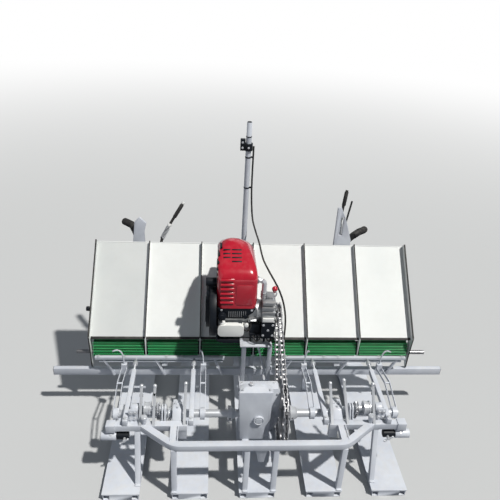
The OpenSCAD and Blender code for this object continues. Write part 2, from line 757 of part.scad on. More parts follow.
// Rear frame, tray rail and handles
rear_x = 300;
cross_z = 230;
cross_d = 14;
slide_gap = 0.3;
rail_y = tray_y + tray_len * cos(tray_slope) - 20.4;
rail_z = under_tray(rail_y) - 26;
rail_w = 16;
pole_x = -31;
pole_y = rail_y + 55;
strut_foot = [beam_y + beam_d + 2, beam_z + 4];
strut_head = [rail_y + 30, rail_z - 6];
function strut_y(z) = strut_foot[0] + (z - strut_foot[1]) / (strut_head[1] - strut_foot[1])
  * (strut_head[0] - strut_foot[0]);
cross_y = strut_y(cross_z + cross_d / 2) - cross_d / 2;
module rear_frame() {
  color(paint) {
    for (s = [-1, 1]) difference() {
      strut([s * rear_x, strut_foot[0], strut_foot[1]], [s * rear_x, strut_head[0], strut_head[1]],
        tube, tube);
      translate([-beam_len / 2, beam_y - 40, 0]) cube([beam_len, 40 + beam_d, 500]);
      translate([-beam_len / 2, rail_y, 0]) cube([beam_len, 90, 700]);
    }
    for (x = [-36, 57]) {
      translate([x - 9, beam_y - 10, beam_top]) tube_y(cross_y + cross_d - beam_y + 10, 18, 18, 2);
      translate([x - 7, cross_y, beam_top + 16]) cube([14, cross_d, cross_z - beam_top - 15]);
    }
    translate([-rear_x + tube / 2 - 1, cross_y, cross_z]) cube([2 * rear_x - tube + 2, cross_d, cross_d]);
    difference() {
      translate([pole_x - 13, cross_y + cross_d, cross_z]) cube([26, pole_y + 11 - cross_y - cross_d, cross_d]);
      translate([pole_x, pole_y, 0]) cylinder(r = pole_d / 2 + fit_gap, h = pole_top);
    }
  }
}
module rear_struts() {
  y = cross_y + cross_d / 2;
  color(paint) for (x = [-float_pitch, 0, float_pitch])
    level_strut([x, y - 24, float_h], [x, y, cross_z], leg_w, float_h, cross_z);
}
module tray_rail() {
  color(paint) translate([-420, rail_y, rail_z - 12]) tube_x(840, rail_w, rail_w, 2);
}
// Handle plates behind the rail, outline in x and height above the rail's underside
plate_y = rail_y + rail_w + 12;
plate_t = 10;
left_plate = [[-418, 0], [-376, 0], [-380, 92], [-372, 128], [-394, 150], [-412, 132], [-420, 60]];
right_plate = [[290, 0], [349, 0], [351, 76], [326, 152], [302, 204], [290, 200]];
module handle_brackets() {
  z = rail_z - 12;
  color(paint) difference() {
    union() {
      for (q = [left_plate, right_plate]) front_slab(plate_y, plate_y + plate_t) translate([0, z]) polygon(q);
      for (r = [[-416, 36], [294, 50]]) translate([r[0], rail_y + rail_w, z]) cube([r[1], 12, rail_w]);
    }
    translate([306, plate_y - 1, z + 96]) cube([10, plate_t + 2, 70]);
  }
}
grip_rows = [[[-400, 0, 60], [-414, 16, 92], [-424, 34, 102], [-442, 58, 98], [-457, 82, 92]],
  [[336, 0, 62], [358, 10, 86], [384, 26, 96], [406, 48, 92], [420, 82, 78]]];
module grips() {
  y = plate_y + plate_t + fit_gap;
  color(black) difference() {
    union() for (g = grip_rows) sweep([for (q = curve(g, 3)) [q[0], y - 6 + q[1], rail_z - 12 + q[2]]], 12, 12);
    translate([-600, y - 40, rail_z - 40]) cube([1200, 40, 200]);
  }
}
lever_y = rail_y + rail_w + 5;
hand_lever_left = [[-322, lever_y, rail_z - 4], [-321, lever_y + 16, 530], [-296, 545, 568], [-249, 575, 640]];
hand_lever_right = [[309, plate_y + plate_t + 5.3, 526], [308, plate_y + plate_t + 8, 622], [324, 545, 717]];
module hand_levers() {
  color(black) for (r = [hand_lever_left, hand_lever_right]) sweep(curve(r, 4), 5, 10);
}
// Length of the pole's turned end, and height of the throttle lever below it
pole_end = 50;
lever_z = pole_top - pole_end - 44;
module centre_pole() {
  color(paint) translate([pole_x, pole_y, 0]) {
    translate([0, 0, cross_z]) cylinder(r = pole_d / 2, h = pole_top - pole_end - cross_z);
    translate([0, 0, cross_z]) cylinder(r = pole_d / 2 - 0.5, h = pole_top - cross_z);
  }
}
module throttle_lever() {
  color(black) difference() {
    union() {
      translate([pole_x, pole_y, lever_z]) cylinder(r = pole_d / 2 + 5, h = 24);
      translate([pole_x - 27, pole_y - 7, lever_z]) cube([16, 14, 38]);
    }
    translate([pole_x, pole_y, lever_z - 1]) cylinder(r = pole_d / 2 + fit_gap, h = 80);
  }
}
cable_r = 3;
cable = [[-13.7, 525, 872], [-13, 525, 720], [-6, 518, 620], [4, 480, 586], [12, 400, 580], [18, 300, 574],
  [36, 256, 552], [64, 240, 506], [84, 232, 457], [95, 226, 402], [97, 220, 342], [93, 216, 302],
  [88, 220, 240],
  [84, 230, 190], [84, 235.7, 166], [84, 235.7, 152]];
module throttle_cable() {
  color(black) sweep(curve(cable, 4), cable_r);
}

// Tray, in its own plane: along the slope is local Y
module on_tray() {
  translate([0, tray_y, tray_z]) rotate([tray_slope, 0, 0]) children();
}
module tray_sheet() {
  color([0.88, 0.89, 0.88]) on_tray() {
    translate([-tray_w / 2, 0, -sheet_t]) cube([tray_w, tray_len, sheet_t]);
    for (i = [1:lanes - 1]) translate([(i - lanes / 2) * lane_w - sheet_t / 2, 0, -sheet_t])
      cube([sheet_t, tray_len, divider_h + sheet_t]);
  }
}
// Side plates with tails that slide on the beam, and shoes on the upper rail
side_h = 22;
side_t = 3;
shoe_w = 40;
shoe_y = [rail_y + 1, rail_y + 9];
function tray_point(u, w) = [tray_y + u * cos(tray_slope) - w * sin(tray_slope),
  tray_z + u * sin(tray_slope) + w * cos(tray_slope)];
function under_tray(y) = tray_z - sheet_t / cos(tray_slope) + (y - tray_y) * tan(tray_slope);
module tray_sides() {
  tail = beam_top + slide_gap;
  color(paint) {
    mirror_pair() difference() {
      across(tray_w / 2, side_t) polygon([tray_point(tray_len, side_h),
        tray_point(tray_len, -6), tray_point(20, -6),
        [276, 212], [beam_y + 13, tail], [beam_y + 4, tail], [beam_y + 2, 230], tray_point(0, side_h)]);
      disc_x(tray_w / 2, belt_low[0], belt_low[1], 8, 20);
    }
    for (x = [-330, -110, 110, 330]) across(x - shoe_w / 2, shoe_w)
      polygon([[shoe_y[0], rail_z + 4 + slide_gap], [shoe_y[1], rail_z + 4 + slide_gap],
        [shoe_y[1], under_tray(shoe_y[1])], [shoe_y[0], under_tray(shoe_y[0])]]);
  }
}
// Belts with cleats: the outline runs round two rollers, each cleat standing out of it
belt_r = 13;
cleat_h = 2;
belt_low = [258, 232];
belt_high = [264, 262];
cleats = 22;
belt_axis = belt_high - belt_low;
belt_run = norm(belt_axis);
belt_round = 2 * belt_run + 2 * PI * belt_r;
// Point of the outline at distance s round it, out by h, in a frame whose X runs along the belt
function belt_edge(s, h) = let (half = PI * belt_r, r = belt_r + h)
  s < belt_run ? [s, -r]
  : s < belt_run + half ? let (a = -90 + 180 * (s - belt_run) / half) [belt_run + r * cos(a), r * sin(a)]
  : s < 2 * belt_run + half ? [2 * belt_run + half - s, r]
  : let (a = 90 + 180 * (s - 2 * belt_run - half) / half) [r * cos(a), r * sin(a)];
module belt_outline() {
  step = belt_round / cleats;
  translate(belt_low) rotate([0, 0, atan2(belt_axis[1], belt_axis[0])])
    polygon([for (i = [0:cleats - 1]) for (k = [[0, 0], [0.05, cleat_h], [0.35, cleat_h], [0.4, 0], [0.7, 0]])
      belt_edge((i + k[0]) * step, k[1])]);
}
shaft_r = 8;
module feed_belts() {
  w = lane_w - 16;
  color(green) for (i = [0:lanes - 1]) across((i - (lanes - 1) / 2) * lane_w - w / 2, w) difference() {
    belt_outline();
    translate(belt_low) circle(r = shaft_r);
  }
}
// Free ends of the feed shaft beyond the middle of the machine, left and right
shaft_ends = [-590, 600];
module feed_shaft() {
  inner = tray_w / 2 + side_t + 3;
  color(steel) {
    disc_x(0, belt_low[0], belt_low[1], shaft_r - 0.1, 2 * inner);
    disc_x((shaft_ends[0] + shaft_ends[1]) / 2, belt_low[0], belt_low[1], shaft_r - 1,
      shaft_ends[1] - shaft_ends[0]);
  }
}

// Planting arm: two thin bent strips from the swing pin to the claw clamp, joined by pins, with the claw wire.
// The wire's hook reaches sideways by hook.
strip_t = 2;
strip_h = 9;
arm_half = 7;
function arm_line() = [[shaft_y - 8, shaft_z + 8], [shaft_y + 0.48 * arm_len, shaft_z + 36],
  [shaft_y + arm_len - 8, shaft_z + 17]];
module arm_strip() {
  q = arm_line();
  polygon([q[0] - [0, strip_h / 2], q[1] - [0, strip_h / 2], q[2] - [0, strip_h / 2], q[2] + [0, strip_h / 2],
    q[1] + [0, strip_h / 2], q[0] + [0, strip_h / 2]]);
}
module arm(x, s, hook) {
  q = arm_line();
  end = [x, shaft_y + arm_len - 6, shaft_z + 34];
  color(paint) difference() {
    union() {
      for (d = [-arm_half - strip_t, arm_half]) across(x + d, strip_t) arm_strip();
      disc_x(x, shaft_y, shaft_z, 18, 2 * arm_half);
      disc_x(x, q[1][0], q[1][1], 3, 2 * arm_half);
      translate([x - 9, shaft_y + arm_len - 14, shaft_z + 6]) cube([18, 14, 28]);
    }
    disc_x(x, shaft_y, shaft_z, shaft_d / 2 + run_gap, 60);
  }
  color(zinc) sweep(concat([end - [0, 0, 4], end], bend(end + [s * 2, 0, 30], end + [s * 8, 0, 66],
    end + [s * hook, 0, 50], 6)), 2.5);
}

// Every node is moved so that the origin is under the middle of the machine
module placed() {
  translate([0, -y_mid, 0]) children();
}

placed() float(1);  // float_1
placed() float(2);  // float_2
placed() float(3);  // float_3
placed() float(4);  // float_4
placed() float(5);  // float_5
placed() front_legs();
placed() rear_struts();
placed() main_frame();
placed() socket_plugs();
placed() spine();
placed() beam();
placed() gate(-1);  // gate_left
placed() gate(1);  // gate_right
placed() support_arms();
placed() height_screws();
placed() bearing_boxes();
placed() unit_plates();
placed() unit_levers();
placed() unit_chains();
placed() gearbox_case();
placed() bearing_cap();
placed() engine_stand();
placed() engine_mount();
placed() engine_block();
placed() crankcase_cover();
placed() engine_cover();
placed() recoil_housing();
placed() fuel_tank();
placed() tank_guard();
placed() muffler();
placed() clutch_housing();
placed() reduction_box();
placed() clutch_lever();
placed() drive_chain();
placed() rear_frame();
placed() tray_rail();
placed() handle_brackets();
placed() grips();
placed() hand_levers();
placed() centre_pole();
placed() throttle_lever();
placed() throttle_cable();
placed() tray_sheet();
placed() tray_sides();
placed() feed_belts();
placed() feed_shaft();
placed() main_shaft();
placed() big_sprocket();
placed() small_sprocket();
placed() mirror([1, 0, 0]) counter_shaft();  // counter_left
placed() counter_shaft();  // counter_right
placed() arm_pins();
placed() arm(-arm_out, -1, 34);  // arm_1
placed() arm(-arm_in, -1, 12);  // arm_2
placed() arm(arm_in, 1, 12);  // arm_3
placed() arm(arm_out, 1, 30);  // arm_4
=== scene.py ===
"""Looks of a walking rice transplanter: finishes, fasteners, trim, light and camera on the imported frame."""

import json
import logging
import math
from dataclasses import dataclass
from enum import Enum
from typing import Callable, Iterable, Sequence

import bmesh
import bpy
from mathutils import Matrix, Vector
from mathutils.bvhtree import BVHTree


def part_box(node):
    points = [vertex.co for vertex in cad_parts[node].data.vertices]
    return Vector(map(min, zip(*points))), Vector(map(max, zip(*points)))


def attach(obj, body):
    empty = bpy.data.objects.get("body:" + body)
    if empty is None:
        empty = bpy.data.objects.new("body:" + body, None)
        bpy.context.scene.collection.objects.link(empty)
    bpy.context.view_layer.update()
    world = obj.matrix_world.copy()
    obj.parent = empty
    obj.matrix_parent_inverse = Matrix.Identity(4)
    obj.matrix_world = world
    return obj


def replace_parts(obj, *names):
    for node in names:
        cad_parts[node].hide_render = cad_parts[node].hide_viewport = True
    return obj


LOG = logging.getLogger("transplanter")
MM = 0.001
# How far the machine's own front-to-back scale is shifted from the row frame
Y_MID = 225.0
# Edges that turn by more than this are broken, in degrees
BREAK_ANGLE = 38
# Points of a CAD mesh nearer than this are one, in metres
SAME_POINT = 2e-6
# Roughness of a clear coat, roughness that full dust adds, height of the grain in metres
COAT_ROUGH = 0.08
DUST_ROUGH = 0.45
GRAIN_HEIGHT = 0.0006

Flat = tuple[float, float]
Point = tuple[float, float, float]
Stud = tuple[Vector, Point]

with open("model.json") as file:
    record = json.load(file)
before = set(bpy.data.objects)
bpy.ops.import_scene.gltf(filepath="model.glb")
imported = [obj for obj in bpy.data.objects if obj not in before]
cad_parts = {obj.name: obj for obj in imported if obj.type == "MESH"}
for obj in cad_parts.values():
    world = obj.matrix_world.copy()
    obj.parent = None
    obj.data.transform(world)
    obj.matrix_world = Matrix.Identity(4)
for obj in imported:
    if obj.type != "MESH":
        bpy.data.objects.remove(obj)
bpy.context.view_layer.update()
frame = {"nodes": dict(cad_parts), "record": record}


def at(x: float, y: float, z: float) -> Vector:
    """Point of the machine's own millimetre scale, in the row frame.

    Args:
        x: place along the beam.
        y: place from front to back, 0 near the main shaft.
        z: height above the ground.

    Returns:
        The point in metres.
    """
    return Vector((x * MM, (y - Y_MID) * MM, z * MM))


class Body(Enum):
    """Bodies of the machine that small pieces ride."""

    FRAME = "frame"
    TRAY = "tray"
    SHAFT = "main_shaft"


class Coat(Enum):
    """Top layer of a finish."""

    NONE = 0.0
    SATIN = 0.25
    LACQUER = 1.0


FLOAT = "NodeSocketFloat"
INT = "NodeSocketInt"
COLOUR = "NodeSocketColor"
MATERIAL = "NodeSocketMaterial"
GEOMETRY = "NodeSocketGeometry"
NOISE = "ShaderNodeTexNoise"
SPREAD = "ShaderNodeMapRange"
BLEND = "ShaderNodeMix"
PLACE = "ShaderNodeTexCoord"
GROUP = "ShaderNodeGroup"


def feed(tree: bpy.types.NodeTree, node: bpy.types.Node, values: dict[str | int, object]) -> None:
    """Links or sets inputs of a node.

    Args:
        tree: the node's tree.
        node: the node.
        values: input name or place to the socket that feeds it, or to its fixed value.
    """
    for label, value in values.items():
        if isinstance(value, bpy.types.NodeSocket):
            tree.links.new(value, node.inputs[label])
        else:
            node.inputs[label].default_value = value


def add(tree: bpy.types.NodeTree, kind: str, values: dict[str | int, object] | None = None,
        **settings: object) -> bpy.types.Node:
    """Adds a node to a tree.

    Args:
        tree: the tree to build in.
        kind: type of the node.
        values: its inputs, as in feed.
        settings: its own properties, set before the inputs.

    Returns:
        The new node.
    """
    node = tree.nodes.new(kind)
    for label, value in settings.items():
        setattr(node, label, value)
    feed(tree, node, values or {})
    return node


def blend(tree: bpy.types.NodeTree, share: bpy.types.NodeSocket, first: object,
          second: object) -> bpy.types.NodeSocket:
    """Adds a blend of two colours.

    Args:
        tree: the tree to build in.
        share: how much of the second colour shows.
        first: first colour, a socket or a value.
        second: second colour, a socket or a value.

    Returns:
        The socket of the blended colour.
    """
    return add(tree, BLEND, {"Factor": share, "A": first, "B": second}, data_type="RGBA").outputs["Result"]


def reckon(tree: bpy.types.NodeTree, how: str, first: object, second: object) -> bpy.types.NodeSocket:
    """Adds one step of arithmetic on two values.

    Args:
        tree: the tree to build in.
        how: name of the operation.
        first: first value, a socket or a number.
        second: second value, a socket or a number.

    Returns:
        The socket of the result.
    """
    return add(tree, "ShaderNodeMath", {0: first, 1: second}, operation=how).outputs[0]


def new_tree(name: str, kind: str, inputs: dict[str, tuple[str, object]],
             outputs: dict[str, str]) -> bpy.types.NodeTree:
    """Empty node tree with named sockets.

    Args:
        name: the tree's name.
        kind: type of the tree.
        inputs: socket name to its kind and default value, None where it has none.
        outputs: socket name to its kind.

    Returns:
        The new tree, its own ends named in and out.
    """
    tree = bpy.data.node_groups.new(name, kind)
    for label, (kind_of, value) in inputs.items():
        socket = tree.interface.new_socket(label, in_out="INPUT", socket_type=kind_of)
        if value is not None:
            socket.default_value = value
    for label, kind_of in outputs.items():
        tree.interface.new_socket(label, in_out="OUTPUT", socket_type=kind_of)
    tree.nodes.new("NodeGroupInput").name = "in"
    tree.nodes.new("NodeGroupOutput").name = "out"
    return tree


class ShaderGroups:
    """Shader node groups that several finishes share, each built once."""

    def __init__(self) -> None:
        """Builds the groups."""
        self.weather = self._weathering()
        self.grain = self._grain()
        self.scratch = self._scratches()

    @staticmethod
    def _weathering() -> bpy.types.NodeTree:
        """Patchy colour with dust on what faces up.

        Returns:
            Group that puts out a colour and a dust mask.
        """
        tree = new_tree(
            "weathering", "ShaderNodeTree",
            {"Colour": (COLOUR, (0.8, 0.8, 0.8, 1)), "Shade": (COLOUR, (0.7, 0.7, 0.7, 1)),
             "Dust": (COLOUR, (0.55, 0.5, 0.42, 1)), "Patch Scale": (FLOAT, 9.0),
             "Dust Amount": (FLOAT, 0.2)},
            {"Colour": COLOUR, "Dust Mask": FLOAT})
        given = tree.nodes["in"].outputs
        place = add(tree, PLACE).outputs["Object"]
        wide = add(tree, NOISE, {"Vector": place, "Scale": given["Patch Scale"], "Detail": 5,
                                 "Roughness": 0.62})
        patches = add(tree, SPREAD, {"Value": wide.outputs["Fac"], "From Min": 0.36, "From Max": 0.66})
        paint = blend(tree, patches.outputs["Result"], given["Colour"], given["Shade"])
        fine = add(tree, NOISE, {"Vector": place, "Scale": 60, "Detail": 6})
        facing = add(tree, "ShaderNodeSeparateXYZ", {0: add(tree, "ShaderNodeNewGeometry").outputs["Normal"]})
        up = add(tree, SPREAD, {"Value": facing.outputs["Z"], "From Min": 0.2})
        broken = add(tree, SPREAD, {"Value": fine.outputs["Fac"], "From Min": 0.42, "From Max": 0.74})
        settled = reckon(tree, "MULTIPLY", up.outputs["Result"], broken.outputs["Result"])
        dust = reckon(tree, "MULTIPLY", settled, given["Dust Amount"])
        feed(tree, tree.nodes["out"], {"Colour": blend(tree, dust, paint, given["Dust"]), "Dust Mask": dust})
        return tree

    @staticmethod
    def _grain() -> bpy.types.NodeTree:
        """Fine surface relief: orange peel, casting or moulding grain.

        Returns:
            Group that puts out a height.
        """
        tree = new_tree("surface_grain", "ShaderNodeTree", {"Scale": (FLOAT, 400.0), "Waves": (FLOAT, 0.3)},
                        {"Height": FLOAT})
        given = tree.nodes["in"].outputs
        place = add(tree, PLACE).outputs["Object"]
        fine = add(tree, NOISE, {"Vector": place, "Scale": given["Scale"], "Detail": 3})
        wide = add(tree, NOISE, {"Vector": place, "Scale": 28})
        waves = reckon(tree, "MULTIPLY", wide.outputs["Fac"], given["Waves"])
        feed(tree, tree.nodes["out"], {"Height": reckon(tree, "ADD", fine.outputs["Fac"], waves)})
        return tree

    @staticmethod
    def _scratches() -> bpy.types.NodeTree:
        """Sparse scratches and chips in a painted face.

        Returns:
            Group that puts out a mask.
        """
        tree = new_tree("scratches", "ShaderNodeTree", {"Amount": (FLOAT, 0.5), "Scale": (FLOAT, 22.0)},
                        {"Mask": FLOAT})
        given = tree.nodes["in"].outputs
        stretch = add(tree, "ShaderNodeMapping", {"Vector": add(tree, PLACE).outputs["Object"],
                                                  "Scale": (1.0, 5.0, 2.2), "Rotation": (0.3, 0.5, 0.8)})
        lines = add(tree, NOISE, {"Vector": stretch.outputs[0], "Scale": given["Scale"], "Detail": 8,
                                  "Roughness": 0.75})
        thin = add(tree, SPREAD, {"Value": lines.outputs["Fac"], "From Min": 0.70, "From Max": 0.76})
        mask = reckon(tree, "MULTIPLY", thin.outputs["Result"], given["Amount"])
        feed(tree, tree.nodes["out"], {"Mask": mask})
        return tree


@dataclass(frozen=True)
class Finish:
    """One finish: a Principled surface with patches, dust, scratches and grain."""

    name: str
    slot: str
    colour: tuple[float, float, float]
    shade: tuple[float, float, float]
    rough: float
    metallic: float = 0.0
    coat: Coat = Coat.NONE
    bare: tuple[float, float, float] = (0.42, 0.42, 0.43)
    dust: float = 0.15
    scratch: float = 0.3
    patch_scale: float = 9.0
    grain_scale: float = 420.0
    grain_depth: float = 0.05
    waves: float = 0.3
    gloss: float = 0.5

    def build(self, groups: ShaderGroups) -> bpy.types.Material:
        """Makes the material.

        Args:
            groups: the shared shader groups.

        Returns:
            The material.
        """
        mat = bpy.data.materials.new(self.name)
        mat.use_nodes = True
        tree = mat.node_tree
        weather = add(tree, GROUP, {
            "Colour": (*self.colour, 1), "Shade": (*self.shade, 1), "Patch Scale": self.patch_scale,
            "Dust Amount": self.dust}, node_tree=groups.weather).outputs
        scratch = add(tree, GROUP, {"Amount": self.scratch}, node_tree=groups.scratch)
        rough = add(tree, SPREAD, {"Value": weather["Dust Mask"], "To Min": self.rough,
                                   "To Max": min(1.0, self.rough + DUST_ROUGH)})
        grain = add(tree, GROUP, {"Scale": self.grain_scale, "Waves": self.waves}, node_tree=groups.grain)
        bump = add(tree, "ShaderNodeBump", {"Height": grain.outputs["Height"], "Strength": self.grain_depth,
                                            "Distance": GRAIN_HEIGHT})
        feed(tree, tree.nodes["Principled BSDF"], {
            "Base Color": blend(tree, scratch.outputs["Mask"], weather["Colour"], (*self.bare, 1)),
            "Metallic": self.metallic, "Roughness": rough.outputs["Result"], "Normal": bump.outputs["Normal"],
            "Coat Weight": self.coat.value, "Coat Roughness": COAT_ROUGH, "Specular IOR Level": self.gloss})
        return mat


FINISHES = (
    Finish("grey_paint", "grey_paint", (0.57, 0.60, 0.65), (0.47, 0.50, 0.56), 0.38, coat=Coat.SATIN,
           dust=0.22, scratch=0.5),
    Finish("tray_paint", "tray_paint", (0.69, 0.71, 0.70), (0.63, 0.655, 0.65), 0.62, dust=0.1, scratch=0.12,
           patch_scale=4.0),
    Finish("zinc_plate", "zinc", (0.72, 0.74, 0.77), (0.60, 0.62, 0.65), 0.34, metallic=0.55, dust=0.12,
           scratch=0.2, grain_depth=0.08),
    Finish("oiled_steel", "steel", (0.36, 0.36, 0.37), (0.20, 0.20, 0.21), 0.36, metallic=0.95, dust=0.1,
           scratch=0.3, patch_scale=40.0, grain_depth=0.1),
    Finish("chain_steel", "steel", (0.58, 0.58, 0.60), (0.34, 0.34, 0.35), 0.30, metallic=0.9, dust=0.05,
           scratch=0.3, patch_scale=60.0, grain_depth=0.08),
    Finish("red_lacquer", "red_plastic", (0.46, 0.003, 0.020), (0.38, 0.002, 0.015), 0.24, coat=Coat.LACQUER,
           dust=0.05, scratch=0.04, grain_depth=0.015, waves=0.1),
    Finish("black_moulding", "black_plastic", (0.004, 0.006, 0.010), (0.008, 0.011, 0.016), 0.46, dust=0.03,
           gloss=0.22, scratch=0.08, grain_scale=900.0, grain_depth=0.18),
    Finish("green_moulding", "green_plastic", (0.002, 0.10, 0.026), (0.001, 0.07, 0.016), 0.45, dust=0.1,
           scratch=0.04, patch_scale=26.0),
    Finish("tank_resin", "tank_plastic", (0.80, 0.81, 0.79), (0.72, 0.73, 0.71), 0.38, dust=0.08,
           scratch=0.04, grain_scale=700.0, grain_depth=0.08),
    Finish("black_rubber", "rubber", (0.018, 0.018, 0.019), (0.032, 0.031, 0.030), 0.62, dust=0.1,
           scratch=0.05, gloss=0.3, grain_scale=1200.0, grain_depth=0.25),
    Finish("cast_alloy", "cast_engine", (0.46, 0.47, 0.48), (0.34, 0.35, 0.36), 0.48, metallic=0.85, dust=0.2,
           scratch=0.1, grain_scale=650.0, grain_depth=0.35),
    Finish("green_net", "green_plastic", (0.11, 0.70, 0.26), (0.06, 0.58, 0.19), 0.26, dust=0.06, scratch=0.0,
           patch_scale=30.0),
    Finish("white_cap", "tank_plastic", (0.78, 0.79, 0.78), (0.70, 0.71, 0.70), 0.35, dust=0.08,
           scratch=0.05),
)


class Palette:
    """The built materials, by the finish's name."""

    def __init__(self) -> None:
        """Builds every finish once."""
        groups = ShaderGroups()
        self.finishes = {f.name: f for f in FINISHES}
        self.materials = {f.name: f.build(groups) for f in FINISHES}
        self.by_slot = {f.slot: f.name for f in reversed(FINISHES)}

    def put(self, obj: bpy.types.Object, name: str) -> None:
        """Gives the whole of an object one finish.

        Args:
            obj: the object.
            name: name of the finish.
        """
        obj.data.materials.clear()
        obj.data.materials.append(self.materials[name])

    def hand_over(self, obj: bpy.types.Object, name: str, body: Body) -> bpy.types.Object:
        """Dresses a finished object, gives it to its body and reports it.

        Args:
            obj: the object.
            name: name of its finish.
            body: moving body that carries it.

        Returns:
            The same object.
        """
        self.put(obj, name)
        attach(obj, body.value)
        LOG.info("made %s: %d faces", obj.name, len(obj.data.polygons))
        return obj


def mesh_object(name: str, mesh: bpy.types.Mesh) -> bpy.types.Object:
    """Puts a new object for a mesh in the scene.

    Args:
        name: the object's name.
        mesh: its mesh.

    Returns:
        The new object.
    """
    obj = bpy.data.objects.new(name, mesh)
    bpy.context.scene.collection.objects.link(obj)
    return obj


def wire_object(name: str, verts: Sequence[Vector], edges: Sequence[tuple[int, int]]) -> bpy.types.Object:
    """Puts a new object of points and edges in the scene.

    Args:
        name: name of the object and its mesh.
        verts: its points.
        edges: pairs of places in verts.

    Returns:
        The new object.
    """
    mesh = bpy.data.meshes.new(name)
    mesh.from_pydata(verts, edges, [])
    return mesh_object(name, mesh)


def bmesh_object(name: str, work: bmesh.types.BMesh) -> bpy.types.Object:
    """Ends work on a form: turns its faces outward and puts it in the scene.

    Args:
        name: name of the object and its mesh.
        work: the form, freed here.

    Returns:
        The new object.
    """
    bmesh.ops.recalc_face_normals(work, faces=work.faces)
    mesh = bpy.data.meshes.new(name)
    work.to_mesh(mesh)
    work.free()
    return mesh_object(name, mesh)


def freeze(obj: bpy.types.Object) -> bpy.types.Object:
    """Turns an object with its modifiers into a plain mesh.

    Args:
        obj: object with live modifiers.

    Returns:
        The same object, its modifiers applied.
    """
    graph = bpy.context.evaluated_depsgraph_get()
    done = bpy.data.meshes.new_from_object(obj.evaluated_get(graph), preserve_all_data_layers=True,
                                           depsgraph=graph)
    obj.modifiers.clear()
    obj.data = done
    return obj


def soften(obj: bpy.types.Object, edge: float, segments: int, smooth: float) -> None:
    """Breaks the edges of an object and evens its shading.

    Args:
        obj: the object.
        edge: width of the broken edges in mm, 0 for none.
        segments: facets of each broken edge.
        smooth: angle under which neighbouring faces shade as one, in degrees.
    """
    if edge:
        bevel = obj.modifiers.new("edges", "BEVEL")
        bevel.width = edge * MM
        bevel.segments = segments
        bevel.limit_method = "ANGLE"
        bevel.angle_limit = math.radians(BREAK_ANGLE)
        freeze(obj)
    obj.data.shade_smooth()
    obj.data.set_sharp_from_angle(angle=math.radians(smooth))


@dataclass
class Softened:
    """Stands for a CAD node: the same form with broken edges and even shading."""

    node: str
    edge: float
    segments: int
    join_flats: bool
    smooth: float = 35.0
    flat_angle: float = 1.0

    def build(self) -> bpy.types.Object:
        """Copies the node, merges it, and rounds its edges.

        Returns:
            The new piece, which replaces the node.
        """
        work = bmesh.new()
        work.from_mesh(frame["nodes"][self.node].data)
        bmesh.ops.remove_doubles(work, verts=work.verts, dist=SAME_POINT)
        if self.join_flats:
            bmesh.ops.dissolve_limit(work, angle_limit=math.radians(self.flat_angle), verts=work.verts,
                                     edges=work.edges)
        obj = bmesh_object(self.node + "_finished", work)
        soften(obj, self.edge, self.segments, self.smooth)
        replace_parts(obj, self.node)
        return obj


